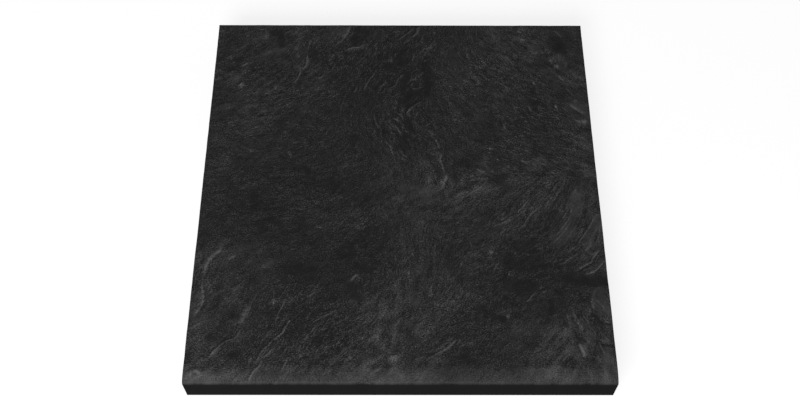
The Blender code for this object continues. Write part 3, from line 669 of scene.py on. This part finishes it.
# Knobs (or, if negative, pits): how light, their height and radius in mm, and the middle.
KNOBS = (
    (1.5, 0.5, 3.2, (-191, 143)), (0.8, 0.3, 2.6, (-166, 217)), (0.9, 0.3, 2.4, (-84, 133)),
    (0.9, 0.3, 2.4, (-65, 172)), (0.9, 0.3, 2.6, (-150, 139)), (1, 0.2, 2.2, (-129, 46)),
    (0.8, 0.5, 4, (186, 184)), (1, 0.4, 3.6, (190, 172)), (1, 0.3, 2.2, (185, 112)),
    (0.8, 0.3, 2.4, (65, 92)), (0.8, 0.2, 2.2, (122, 82)), (0.8, 0.2, 2.2, (155, 108)),
    (0.8, 0.2, 2.2, (165, 99)), (1, 0.2, 1.9, (104, 52)), (0.8, 0.3, 2.6, (94, 146)),
    (1, 0.4, 3.8, (-135, -143)), (1.2, 0.3, 2.1, (-118, -166)), (0.8, 0.2, 1.8, (-76, -195)),
    (0.8, 0.2, 1.8, (-106, -149)), (0.9, 1, 4.2, (-7, -208)), (1.7, 0.4, 2.2, (114, -161)),
    (1.7, 0.3, 2.2, (100, -84)), (0.9, 0.3, 1.9, (-26, 112)), (0.6, 0.2, 1.6, (-19, 121)),
    (0.8, 0.2, 1.9, (-4, 108)), (0.6, 0.2, 1.6, (29, 61)), (0.8, 0.2, 1.7, (38, 45)),
    (0.6, 0.2, 1.6, (31, 29)), (0.6, 0.2, 1.6, (63, 59)), (0.6, 0.2, 1.7, (-41, 82)),
    (0.8, 0.3, 1.9, (-12, 207)), (0.6, 0.2, 1.6, (7, 167)), (0.9, 0.3, 1.8, (2, 157)),
    (0.6, 0.2, 1.6, (22, 229)), (0.8, 0.2, 1.8, (42, 223)), (0.6, 0.3, 2.6, (-23, 227)),
    (0.6, 0.2, 1.8, (-32, 213)), (0.8, 0.2, 1.8, (113, 37)), (0.9, 0.2, 1.8, (106, 21)),
    (0.8, 0.2, 1.8, (82, 15)), (0.8, 0.2, 1.6, (124, 27)), (0.6, 0.2, 1.6, (124, 12)),
    (0.8, 0.2, 1.7, (50, -21)), (0.8, 0.3, 1.8, (118, -110)), (0.8, 0.3, 2.4, (-207, 185)),
    (0.8, 0.2, 2.2, (-218, 165)), (0.8, 0.3, 2.9, (-220, 225)), (0.8, 0.2, 2.4, (147, 225)),
    (0.8, 0.2, 1.9, (177, 224)), (0.9, 0.3, 2.4, (182, 193)), (0.8, 0.2, 2.4, (161, 145)),
    (0.8, 0.2, 1.9, (138, 187)), (0.8, 0.2, 2.4, (107, 182)), (0.8, 0.2, 1.9, (198, 109)),
    (0.9, 0.3, 2.4, (209, 120)), (0.8, 0.2, 1.9, (148, 90)), (0.8, 0.2, 1.9, (158, 73)),
    (0.8, 0.2, 1.9, (111, 103)), (0.6, 0.2, 1.7, (70, 121)), (0.9, 0.3, 1.9, (206, -150)),
    (0.9, 0.2, 1.8, (-127, 43)), (0.8, 0.2, 2.6, (-172, 49)), (0.6, 0.2, 1.8, (-216, 16)),
    (0.6, 0.2, 1.6, (-173, 5)), (0.8, 0.2, 1.8, (-177, -2)), (0.6, 0.2, 1.6, (-161, -6)),
    (0.6, 0.2, 1.6, (-159, -72)), (0.8, 0.2, 1.8, (-149, -100)), (0.9, 0.3, 2.6, (-43, -48)),
    (0.8, 0.2, 1.7, (-47, -52)), (0.8, 0.2, 1.8, (-78, -47)), (0.6, 0.2, 1.6, (-73, -54)),
    (0.6, 0.2, 1.7, (-117, -64)), (0.6, 0.2, 1.6, (23, -7)), (0.6, 0.2, 1.6, (16, -7)),
    (0.6, 0.2, 1.6, (14, -26)), (0.6, 0.2, 1.7, (-75, -82)), (0.6, 0.2, 1.7, (-15, -135)),
    (0.6, 0.2, 1.6, (-27, -157)), (0.8, 0.2, 2.4, (65, -46)), (0.6, 0.2, 1.6, (68, -55)),
    (0.8, 0.2, 1.8, (27, -189)), (0.6, 0.2, 1.7, (87, -138)), (0.6, 0.2, 1.7, (95, -148)),
    (1.2, 0.3, 2.2, (-52, -208)), (-0.8, -0.3, 2.2, (102, -7)), (-0.6, -0.3, 1.8, (109, -17)),
    (-0.6, -0.3, 1.8, (123, -14)), (-0.6, -0.3, 1.8, (0, -57)), (-0.6, -0.3, 1.8, (-15, -39)),
    (-0.6, -0.3, 1.9, (201, 120)), (-0.5, -0.3, 2.6, (-211, 142)), (-0.6, -0.3, 1.8, (-84, 206)),
    (-0.6, -0.3, 1.8, (94, 98)), (-0.6, -0.3, 1.8, (-36, -137)), (-0.6, -0.3, 1.8, (92, -100)),
    (1, 0.3, 1.9, (33, -136)), (0.4, 0.5, 3.4, (-212, -228)), (1, 0.4, 3.4, (217, 90)),
)

SWELL = 0.5  # how far the whole top swells and sinks, in mm
GRAIN_BLEND = 60.0  # how softly one place's grain passes into the next one's, in mm squared
FAR = 1e9  # farther than anything


def lattice(x, y, across, seed, cells=701):
    """Smooth noise in the plane from -1 to 1: random values at crossings a set distance apart."""
    values = np.random.default_rng(seed).uniform(-1, 1, (cells, cells))
    u, v = x / across + 0.37 + cells, y / across + 0.61 + cells
    i, j = np.floor(u).astype(int), np.floor(v).astype(int)
    s, t = u - i, v - j
    s, t = s * s * (3 - 2 * s), t * t * (3 - 2 * t)
    i, j = i % cells, j % cells
    right, back = (i + 1) % cells, (j + 1) % cells
    near = values[i, j] * (1 - s) + values[right, j] * s
    far = values[i, back] * (1 - s) + values[right, back] * s
    return near * (1 - t) + far * t


def grain_at(x, y):
    """The grain's direction with its angle doubled, so that opposite ways blend as one."""
    total = np.zeros((2,) + x.shape)
    for degrees, (px, py) in GRAIN:
        weight = 1 / ((x - px) ** 2 + (y - py) ** 2 + GRAIN_BLEND) ** 1.5
        doubled = math.radians(2 * degrees)
        total += weight * np.array([math.cos(doubled), math.sin(doubled)])[:, None]
    return total / np.linalg.norm(total, axis=0)


def angle_at(x, y):
    """The grain's direction as an angle."""
    doubled = grain_at(x, y)
    return np.arctan2(doubled[1], doubled[0]) / 2


def combed(x, y, across, reach, seed):
    """Noise drawn out along the grain, as if combed: the sum of it along each flow line,
    brought to a spread of 1."""
    pace = across * 0.4
    start = angle_at(x, y)
    total = lattice(x, y, across, seed)
    for way in (1, -1):
        px, py = x, y
        dx, dy = way * np.cos(start), way * np.sin(start)
        for _ in range(max(1, round(reach / pace))):
            px, py = px + pace * dx, py + pace * dy
            total += lattice(px, py, across, seed)
            turn = angle_at(px, py)
            tx, ty = np.cos(turn), np.sin(turn)
            same = np.sign(tx * dx + ty * dy)
            dx, dy = tx * same, ty * same
    return total / total.std()


def segments_of(route):
    """Each stretch of a route: its start, its direction, its length and the length before it."""
    corners = np.array(route, float)
    lengths = np.linalg.norm(np.diff(corners, axis=0), axis=1)
    before = np.concatenate([[0], np.cumsum(lengths)[:-1]])
    return zip(corners, np.diff(corners, axis=0) / lengths[:, None], lengths, before)


def near_routes(x, y, routes):
    """For each point, the nearest route's number, the signed distance to it (positive on
    its left), and how far along it the foot of that distance is, from 0 to 1."""
    best = np.full(x.shape, FAR)
    signed, along, number = np.zeros(x.shape), np.zeros(x.shape), np.zeros(x.shape, int)
    for k, route in enumerate(routes):
        stretches = list(segments_of(route))
        whole = stretches[-1][2] + stretches[-1][3]
        for start, way, length, before in stretches:
            held = np.clip((x - start[0]) * way[0] + (y - start[1]) * way[1], 0, length)
            gap_x = x - start[0] - held * way[0]
            gap_y = y - start[1] - held * way[1]
            gap = np.hypot(gap_x, gap_y)
            nearer = gap < best
            side = np.where(way[0] * gap_y - way[1] * gap_x >= 0, 1.0, -1.0)
            best = np.where(nearer, gap, best)
            signed = np.where(nearer, gap * side, signed)
            along = np.where(nearer, (before + held) / whole, along)
            number = np.where(nearer, k, number)
    return number, signed, along


def across_route(x, y, route):
    """How far each point is from a route, on either side."""
    return np.abs(near_routes(x, y, [route])[1])


def hump(x, y, middle, radius):
    """1 at the middle of a round area, and down to 0 outside it."""
    return np.exp(-(((x - middle[0]) ** 2 + (y - middle[1]) ** 2) / radius**2))


def tapered(share, ends):
    """1 along a line and 0 at its tips. Each end takes up one part in so many of it."""
    return np.clip(ends * share, 0, 1) * np.clip(ends * (1 - share), 0, 1)


# Strands and sets of lines. Lengths are in mm.
STRAND_PACE = 3.0
STRAND_PACES = 20
STRAND_WIDE, STRAND_STEP = 0.55, 0.25
STRAND_WANDER = 0.25  # in radians, off the grain
STRAND_SIDE, STRAND_FRONT, STRAND_BACK = 222, -218, 232  # no strand goes past these
LINE_SETS = 6
LINES_APART = 9.0
LINE_REACH = 6.0  # a line isn't seen farther away than this
NO_LINE = 9.0  # the distance that is kept where no line is near


def strands():
    """Edges like the ledges, but too many to place one by one: they follow the grain."""
    dice = np.random.default_rng(7)
    places = [
        (light * dice.uniform(0.5, 1.4), length * dice.uniform(0.5, 1.5),
         middle + radius * math.sqrt(dice.uniform()) * np.array([math.cos(turn), math.sin(turn)]))
        for count, light, length, middle, radius in STRANDS
        for turn in dice.uniform(0, 2 * math.pi, count)
    ]
    places.sort(key=lambda place: -place[0])
    spot = np.array([middle for *_, middle in places]).T
    way = np.zeros(spot.shape)
    paces = [spot]
    for _ in range(STRAND_PACES):
        turn = angle_at(*spot) + STRAND_WANDER * lattice(*spot, 14.0, 41)
        ahead = np.array([np.cos(turn), np.sin(turn)])
        same = np.sign((ahead * way).sum(axis=0))
        way = ahead * np.where(same == 0, 1, same)
        spot = spot + STRAND_PACE * way
        paces.append(spot)
    for k, (light, length, _) in enumerate(places):
        route = np.array(paces)[: max(3, round(length / STRAND_PACE)), :, k]
        across, along = route.T
        if (np.abs(across).max() < STRAND_SIDE and STRAND_FRONT < along.min()
                and along.max() < STRAND_BACK):
            yield light, STRAND_WIDE, STRAND_STEP, route


def dealt_apart(lines, count):
    """Deals the lines into sets, so that in one set none come near each other. A line that
    finds no room is left out."""
    sets, taken = [[] for _ in range(count)], [np.full((1, 2), FAR)] * count
    for line in lines:
        spots = [start + way * done for start, way, length, _ in segments_of(line[3])
                 for done in np.arange(0, length + 2, 2)]
        for k in range(count):
            gaps = np.linalg.norm(np.array(spots)[:, None] - taken[k][None], axis=2)
            if gaps.min() > LINES_APART:
                sets[k].append(line)
                taken[k] = np.concatenate([taken[k], spots])
                break
    return sets


points = np.empty(len(slab.data.vertices) * 3)
slab.data.vertices.foreach_get("co", points)
points = points.reshape(-1, 3)
x, y = points[:, 0] / MM, points[:, 1] / MM


def keep(name, *parts):
    """Keeps one number, or three, at each point of the mesh for the finish to read."""
    kind, field = ("FLOAT", "value") if len(parts) == 1 else ("FLOAT_VECTOR", "vector")
    attribute = slab.data.attributes.new(name, kind, "POINT")
    values = np.ascontiguousarray(np.stack(parts, axis=1), np.float32)
    attribute.data.foreach_set(field, values.ravel())


# The broken edges: their steps add up, and each set keeps its nearest line at each point.
line_height = np.zeros(x.shape)
for number, lines in enumerate(dealt_apart([*LEDGES, *strands()], LINE_SETS)):
    line_gap, line_gain = np.full(x.shape, NO_LINE), np.zeros(x.shape)
    line_wide = np.ones(x.shape)
    for light, wide, step, route in lines:
        margin = 5 + 30 * step
        low, high = np.min(route, axis=0) - margin, np.max(route, axis=0) + margin
        close = np.flatnonzero((x > low[0]) & (x < high[0]) & (y > low[1]) & (y < high[1]))
        _, gap, share = near_routes(x[close], y[close], [route])
        taper = tapered(share, 5)
        levelling = np.exp(-np.abs(gap) / (1 + 13 * step))
        line_height[close] += 0.5 * step * taper * np.tanh(gap) * levelling
        # Its light is the nearest line's alone, and fades out from 3 to 4.5 mm away.
        nearer = np.abs(gap) < np.minimum(np.abs(line_gap[close]), LINE_REACH)
        here = close[nearer]
        line_gap[here] = gap[nearer]
        line_wide[here] = wide
        line_gain[here] = light * (taper * np.clip((4.5 - np.abs(gap)) / 1.5, 0, 1))[nearer]
    keep(f"line_{number}", line_gap, line_gain, line_wide)

# The cracks, which darken nothing that is 3 mm away or more.
crack, crack_gap, crack_share = near_routes(x, y, [route for *_, route in CRACKS])
dark, crack_wide = (np.array([mark[k] for mark in CRACKS])[crack] for k in range(2))
crack_gain = dark * tapered(crack_share, 8) * (np.abs(crack_gap) < 3.0)


def shaken(*shakes):
    """The points moved about, so that what is drawn on them gets a ragged edge. Each shake
    has its reach and its size in mm, and a seed for x and for y."""
    shaken_x, shaken_y = x, y
    for reach, across, seed_x, seed_y in shakes:
        shaken_x = shaken_x + reach * lattice(x, y, across, seed_x)
        shaken_y = shaken_y + reach * lattice(x, y, across, seed_y)
    return shaken_x, shaken_y


# The grain of the split face, from fine to broad, and where it is streaky.
flake, clump = combed(x, y, 3.0, 2.4, 21), combed(x, y, 5.0, 6.0, 22)
cloud, drift = combed(x, y, 12.0, 7.0, 23), combed(x, y, 24.0, 12.0, 24)
streaky = sum(0.35 * hump(x, y, middle, radius) for *_, middle, radius in STRANDS)
streaky = np.clip(0.3 + streaky, 0, 0.8)

warped = shaken((3.0, 7.0, 11, 12), (3.0, 19.0, 13, 14))
tone = np.zeros(x.shape)
for strength, half_width, route in WISPS:
    tone += strength * np.exp(-((across_route(*warped, route) / (1.25 * half_width)) ** 2))
tone *= np.clip(1 + 0.35 * clump + 0.35 * cloud, 0.2, 2)

torn = shaken((0.9, 3.2, 15, 16))
knob, knob_height = np.zeros(x.shape), np.zeros(x.shape)
for strength, height, radius, middle in KNOBS:
    mound = hump(*torn, middle, radius)
    knob += strength * mound
    knob_height += height * mound

chipped = shaken((2.5, 4.0, 17, 18), (3.0, 10.0, 19, 20))
patch, bare = np.zeros(x.shape), np.clip(1.5 * combed(x, y, 5.0, 2.0, 25) - 1.5, 0, 0.8)
for strength, half_width, route in PATCHES:
    inside = np.clip((half_width - across_route(*chipped, route)) / 3.5 + 0.5, 0, 1)
    patch += 0.5 * strength * inside
    bare = np.maximum(bare, inside)

coarse = 1 + 0.12 * drift
for strength, radius, middle in COARSER:
    coarse += strength * hump(x, y, middle, radius)
coarse = np.clip(coarse, 0.6, 1.8) * (1 - 0.6 * bare)
shade = coarse * (0.060 * flake + 0.060 * clump) + 0.030 * cloud + 0.022 * drift
shade += 0.26 * np.clip(tone, -1.0, 1.5) + patch

# The relief, in mm from the mean plane of the top.
swell = SWELL * (lattice(x, y, 80.0, 31) + 0.4 * lattice(x, y, 30.0, 32))
height = line_height + knob_height + swell + coarse * (0.08 * flake + 0.13 * clump) + 0.16 * cloud
height += 0.2 * drift - 0.15 * bare
height -= 0.25 * crack_gain * np.exp(-(crack_gap**2))
# Nothing stands above the full thickness: the highest marks level off just under it.
height = -np.logaddexp(0, -3 * (height - 0.9)) / 3

# The relief fades to nothing down the nose, which was ground, and lessens towards the back
# edge, which was sawn straight. The walls and the underside have none.
on_face = points[:, 2] > THICKNESS / 2
ahead = np.clip((nose_line - points[:, 1]) / NOSE_SETBACK, 0, 1)
left = np.where(on_face, np.sqrt(1 - 0.98 * ahead**2), 0.0)
left *= np.interp(HIGH.y - points[:, 1], (0, 15 * MM), (0.3, 1))
points[:, 2] += height * MM * left
slab.data.vertices.foreach_set("co", points.ravel())
slab.data.update()

# The nose is paler from just behind it (below 0) down to its foot (1): ground paler, and painted
# highlight.
onto_nose = (nose_line - points[:, 1]) / NOSE_SETBACK + 0.04 * clump
worn_and_highlight = np.interp(onto_nose, (-0.4, -0.05, 0.5, 0.65, 0.85, 1), (0, 0.95, 1.15, 1.1, 0.35, 0.5))
coarse *= np.interp(onto_nose, (0.8, 1), (1, 0.2))
keep("grain", *grain_at(x, y), coarse)
keep("streaky", streaky)
keep("crack", crack_gap, crack_gain, crack_wide)
keep("tone", shade, knob, worn_and_highlight * on_face)

# Which points are on a sawn face: the walls, up to the arris, and the underside.
sawn = (points[:, 2] < THICKNESS / 2) | (np.abs(points[:, 0]) > WIDTH / 2 - NEAR)
sawn |= points[:, 1] > HIGH.y - NEAR
under_arris = THICKNESS - NOSE_DROP - ARRIS - SETTLE / 2
sawn |= (points[:, 1] < LOW.y + NEAR) & (points[:, 2] < under_arris)
keep("sawn", sawn)

bpy.ops.object.select_all(action="DESELECT")
slab.select_set(True)
bpy.context.view_layer.objects.active = slab
bpy.ops.object.shade_smooth_by_angle(angle=math.radians(40))

# The finish: dry slate. On the cleft top, pale flecks of mica and bruised grain lie on a
# near-black ground along the grain. The sawn faces are plain and darker.
SLATE = 0.015  # how light plain slate is where it is cleft
SAWN = 0.0092  # and where it is sawn
DARKEST = 0.62  # the least shade on the cleft top, where plain slate is 1
CONTRAST = 2.2
TURNS = 6  # directions that the grain's noise is drawn in

slate = bpy.data.materials.new("slate")
slate.use_nodes = True
nodes, links = slate.node_tree.nodes, slate.node_tree.links
shader = nodes["Principled BSDF"]


def maths(operation, *inputs, clamp=False):
    """A Math node on numbers or sockets, and its output."""
    node = nodes.new("ShaderNodeMath")
    node.operation = operation
    node.use_clamp = clamp
    for socket, value in zip(node.inputs, inputs):
        if isinstance(value, (int, float)):
            socket.default_value = value
        else:
            links.new(value, socket)
    return node.outputs[0]


def mixed(start, *parts):
    """A number plus each socket times its share."""
    total = start
    for socket, share in parts:
        total = maths("MULTIPLY_ADD", socket, share, total)
    return total


def kept(name):
    """The outputs of the node that reads what is kept on the mesh under a name."""
    node = nodes.new("ShaderNodeAttribute")
    node.attribute_name = name
    return node.outputs


def three_of(name):
    """The three numbers kept on the mesh under a name."""
    parts = nodes.new("ShaderNodeSeparateXYZ")
    links.new(kept(name)["Vector"], parts.inputs[0])
    return parts.outputs


# Places on the slab, and the same places wavered a little, so that no streak runs straight.
place = nodes.new("ShaderNodeTexCoord").outputs["Object"]
waver = nodes.new("ShaderNodeTexNoise")
waver.noise_dimensions = "2D"
waver.inputs["Scale"].default_value = 1 / (9 * MM)
waver.inputs["Detail"].default_value = 1.0
links.new(place, waver.inputs["Vector"])
wavering = nodes.new("ShaderNodeVectorMath")
wavering.operation = "MULTIPLY_ADD"
links.new(waver.outputs["Color"], wavering.inputs[0])
wavering.inputs[1].default_value = (3 * MM, 3 * MM, 0)
links.new(place, wavering.inputs[2])
wavered = wavering.outputs[0]


def noise_of(cell_x, cell_y, degrees=0.0, detail=2.0, roughness=0.5, shift=0.0, flat=True,
             at=place):
    """Noise with cells of a size in mm, turned so that cell_x runs at an angle; about -0.5
    to 0.5."""
    turn = nodes.new("ShaderNodeVectorRotate")
    turn.rotation_type = "Z_AXIS"
    turn.inputs["Angle"].default_value = -math.radians(degrees)
    links.new(at, turn.inputs["Vector"])
    mapping = nodes.new("ShaderNodeMapping")
    scale_x, scale_y = 1 / (cell_x * MM), 1 / (cell_y * MM)
    mapping.inputs["Scale"].default_value = (scale_x, scale_y, scale_y)
    mapping.inputs["Location"].default_value = (shift, shift * 1.7, shift * 0.3)
    links.new(turn.outputs[0], mapping.inputs["Vector"])
    texture = nodes.new("ShaderNodeTexNoise")
    texture.noise_dimensions = "2D" if flat else "3D"
    texture.inputs["Scale"].default_value = 1.0
    texture.inputs["Detail"].default_value = detail
    texture.inputs["Roughness"].default_value = roughness
    links.new(mapping.outputs[0], texture.inputs["Vector"])
    return maths("SUBTRACT", texture.outputs["Fac"], 0.5)


# How well the grain runs in each of the directions, from 0 to 1.
grain_x, grain_y, coarse_mark = three_of("grain")
facings = []
for k in range(TURNS):
    degrees = 180 * k / TURNS
    doubled = math.radians(2 * degrees)
    facing = maths("MULTIPLY_ADD", grain_y, math.sin(doubled),
                   maths("MULTIPLY", grain_x, math.cos(doubled)))
    facings.append((degrees, maths("POWER", maths("MAXIMUM", facing, 0.0), 1.5)))


def along_grain(length, width, shift, shaped):
    """Noise drawn out along the grain, whichever way it runs, and shaped into marks."""
    total = 0.0
    for k, (degrees, weight) in enumerate(facings):
        noise = noise_of(length, width, degrees, 1.0, 0.6, shift + 5.3 * k, at=wavered)
        total = maths("MULTIPLY_ADD", weight, maths("MAXIMUM", shaped(noise), 0.0), total)
    return total


def strokes(length, width, shift):
    """Short separate strokes along the grain."""
    return along_grain(length, width, shift, lambda noise: maths("SUBTRACT", noise, 0.05))


def veins(length, width, shift):
    """Thin winding lines, drawn out along the grain."""
    return along_grain(length, width, shift,
                       lambda noise: maths("MULTIPLY_ADD", maths("ABSOLUTE", noise), -8.0, 1.0))


meander = noise_of(5, 5, shift=17.0)
wear = noise_of(3, 3, shift=29.0)
speck = noise_of(1.5, 1.5, detail=1.0, shift=71.0)
ragged = maths("MULTIPLY_ADD", meander, 0.7, maths("MULTIPLY", speck, 0.9))


def bell(across, middle, half_width):
    """A soft hump, 1 at its middle."""
    off = maths("MULTIPLY_ADD", across, 1 / half_width, -middle / half_width)
    return maths("EXPONENT", maths("MULTIPLY", maths("MULTIPLY", off, off), -1.0))


def worn_lines(name):
    """How far a place is across the lines kept under a name, in their own widths, and how
    bright they are there, because they are worn away in places."""
    gap, gain, wide = three_of(name)
    across = maths("DIVIDE", maths("ADD", ragged, gap), wide)
    whole = maths("MULTIPLY_ADD", wear, 3.0, maths("MULTIPLY_ADD", gain, 0.45, 0.5))
    whole = maths("MINIMUM", maths("MAXIMUM", whole, 0.0), 1.0)
    return across, maths("MULTIPLY", gain, whole)


# The broken edges: bright along the middle, with painted light on their high left side and painted
# shadow on their low right side.
core, edge_light_and_shadow = 0.0, 0.0
for number in range(LINE_SETS):
    across, bright = worn_lines(f"line_{number}")
    core = maths("ADD", core, maths("MULTIPLY", bell(across, 0.0, 1.0), bright))
    lit_and_shaded_sides = mixed(0.0, (bell(across, 2.2, 1.1), 0.12), (bell(across, -1.9, 0.8), -0.25))
    edge_light_and_shadow = maths("ADD", edge_light_and_shadow, maths("MULTIPLY", lit_and_shaded_sides, bright))
across, bright = worn_lines("crack")
cut = maths("MULTIPLY", bell(across, 0.0, 1.0), bright)

# The grit of the grain, less of it on the broken edges and on the nose's pale band.
shade_mark, knob_mark, worn_and_highlight_mark = three_of("tone")
knobs = maths("MULTIPLY_ADD", speck, 0.6, knob_mark)
knobs = maths("MAXIMUM", maths("SUBTRACT", knobs, 0.2), 0.0)
streaks = mixed(0.0, (veins(9.0, 2.8, 3.0), 0.4), (veins(8.0, 2.6, 43.0), -0.4),
                (strokes(13.0, 2.4, 83.0), 2.2), (strokes(12.0, 2.4, 123.0), -2.0))
grit = maths("MULTIPLY_ADD", streaks, kept("streaky")["Fac"], maths("MULTIPLY", speck, 1.85))
unbroken = maths("MULTIPLY_ADD", core, -0.7, 1.0, clamp=True)
grit_share_on_nose = maths("MULTIPLY_ADD", worn_and_highlight_mark, -0.35, 1.0)
grit = maths("MULTIPLY", maths("MULTIPLY", grit, coarse_mark), maths("MULTIPLY", unbroken, grit_share_on_nose))

# The cleft top's colour: plain slate times the shade of all the marks, among them the painted
# highlight on the nose and the painted light and shadow beside the broken edges.
cleft_shade = mixed(1.0, (shade_mark, 1.0), (grit, 1.0), (worn_and_highlight_mark, 0.28),
                    (core, 0.9), (edge_light_and_shadow, 1.0), (knobs, 0.95), (cut, -0.7))
cleft_shade = maths("POWER", maths("MAXIMUM", cleft_shade, DARKEST), CONTRAST)
cleft_tone = maths("MULTIPLY", cleft_shade, SLATE)

# The sawn faces have faint level saw marks, and meet the cleft top in a chipped edge.
saw_marks = noise_of(60, 1.2, detail=3.0, shift=3.0, flat=False)
sawn_tone = maths("MULTIPLY_ADD", saw_marks, 0.002, SAWN)
on_sawn = maths("MULTIPLY_ADD", noise_of(2, 2, shift=7.0), 0.2, kept("sawn")["Fac"])
on_sawn = maths("GREATER_THAN", on_sawn, 0.6)
value = maths("MULTIPLY_ADD", maths("SUBTRACT", sawn_tone, cleft_tone), on_sawn, cleft_tone)
colour = nodes.new("ShaderNodeCombineColor")
for k, tint in enumerate((1.0, 1.0, 1.01)):
    links.new(maths("MULTIPLY", value, tint), colour.inputs[k])
links.new(colour.outputs[0], shader.inputs["Base Color"])
shader.inputs["Specular IOR Level"].default_value = 0.2
rough = maths("MULTIPLY_ADD", cleft_shade, 0.04, 0.56, clamp=True)
links.new(rough, shader.inputs["Roughness"])

# The finest relief, in mm.
relief = mixed(0.0, (grit, 0.35), (core, 0.15), (edge_light_and_shadow, 0.3), (knobs, 0.2), (cut, -0.3))
relief = maths("MULTIPLY", relief, maths("SUBTRACT", 1.0, on_sawn))
bump = nodes.new("ShaderNodeBump")
bump.inputs["Distance"].default_value = MM
bump.inputs["Strength"].default_value = 1.0
links.new(relief, bump.inputs["Height"])
links.new(bump.outputs[0], shader.inputs["Normal"])

slab.data.materials.clear()
slab.data.materials.append(slate)
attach(slab, "root")
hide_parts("slab")

# ---------------------------------------------------------------------------------------
# The floor: a plain white sweep that the slab lies on, matt and evenly lit, so that the
# slab is seen on white and casts no more than a faint shadow.
# ---------------------------------------------------------------------------------------
FLOOR_SIZE = 60.0
FLOOR_TONE = 0.22
FLOOR_GLOW = 0.81

bpy.ops.object.select_all(action="DESELECT")
bpy.ops.mesh.primitive_plane_add(size=FLOOR_SIZE, location=(0, 0, 0))
floor = bpy.context.object
floor.name = "floor"
floor.visible_glossy = False
floor.visible_diffuse = False
white = bpy.data.materials.new("floor_white")
white.use_nodes = True
paper = white.node_tree.nodes["Principled BSDF"]
paper.inputs["Base Color"].default_value = (FLOOR_TONE, FLOOR_TONE, FLOOR_TONE, 1)
paper.inputs["Roughness"].default_value = 1.0
paper.inputs["Specular IOR Level"].default_value = 0.0
paper.inputs["Emission Color"].default_value = (1, 1, 1, 1)
paper.inputs["Emission Strength"].default_value = FLOOR_GLOW
floor.data.materials.append(white)

# ---------------------------------------------------------------------------------------
# The light: an even white studio, dark below the floor, with one broad soft lamp that
# stands in front and to the left and points at the slab.
# ---------------------------------------------------------------------------------------
SKY = 0.35
LAMP_WIDTH, LAMP_HEIGHT = 1.8, 1.0
LAMP_WATTS = 90
LAMP_PLACE = (-0.7, -2.2, 1.55)

world = bpy.data.worlds.new("studio")
world.use_nodes = True
sky = world.node_tree
towards = sky.nodes.new("ShaderNodeSeparateXYZ")
sky.links.new(sky.nodes.new("ShaderNodeTexCoord").outputs["Generated"], towards.inputs[0])
upward = sky.nodes.new("ShaderNodeMath")
upward.operation = "GREATER_THAN"
upward.inputs[1].default_value = 0.0
sky.links.new(towards.outputs["Z"], upward.inputs[0])
glow = sky.nodes.new("ShaderNodeMath")
glow.operation = "MULTIPLY"
glow.inputs[1].default_value = SKY
sky.links.new(upward.outputs[0], glow.inputs[0])
sky.links.new(glow.outputs[0], sky.nodes["Background"].inputs["Strength"])
sky.nodes["Background"].inputs["Color"].default_value = (1, 1, 1, 1)
bpy.context.scene.world = world

lamp_data = bpy.data.lights.new("front_lamp", "AREA")
lamp_data.shape = "RECTANGLE"
lamp_data.size = LAMP_WIDTH
lamp_data.size_y = LAMP_HEIGHT
lamp_data.energy = LAMP_WATTS
lamp = bpy.data.objects.new("front_lamp", lamp_data)
lamp.location = LAMP_PLACE
lamp.rotation_euler = (-lamp.location).to_track_quat("-Z", "Y").to_euler()
bpy.context.scene.collection.objects.link(lamp)

# ---------------------------------------------------------------------------------------
# The camera: in front of the slab and looking down on it. It looks a hair to the right
# and is rolled a hair too.
# ---------------------------------------------------------------------------------------
LENS, SENSOR = 47.97, 36.0
LOOKS_DOWN, LOOKS_RIGHT, ROLLED = (math.radians(degrees) for degrees in (60.099, 0.412, 0.423))
CAMERA_PLACE = (-0.0046, -0.6265, THICKNESS + 1.0366)

camera_data = bpy.data.cameras.new("camera")
camera_data.lens = LENS
camera_data.sensor_width = SENSOR
camera = bpy.data.objects.new("camera", camera_data)
forward = Vector((math.sin(LOOKS_RIGHT) * math.cos(LOOKS_DOWN),
                  math.cos(LOOKS_RIGHT) * math.cos(LOOKS_DOWN), -math.sin(LOOKS_DOWN)))
right = Vector((math.cos(LOOKS_RIGHT), -math.sin(LOOKS_RIGHT), 0))
up = right.cross(forward)
rolled_right = math.cos(ROLLED) * right + math.sin(ROLLED) * up
rolled_up = -math.sin(ROLLED) * right + math.cos(ROLLED) * up
camera.matrix_world = Matrix((rolled_right, rolled_up, -forward)).transposed().to_4x4()
camera.location = CAMERA_PLACE
bpy.context.scene.collection.objects.link(camera)
bpy.context.scene.camera = camera
bpy.context.scene.view_settings.view_transform = "Standard"
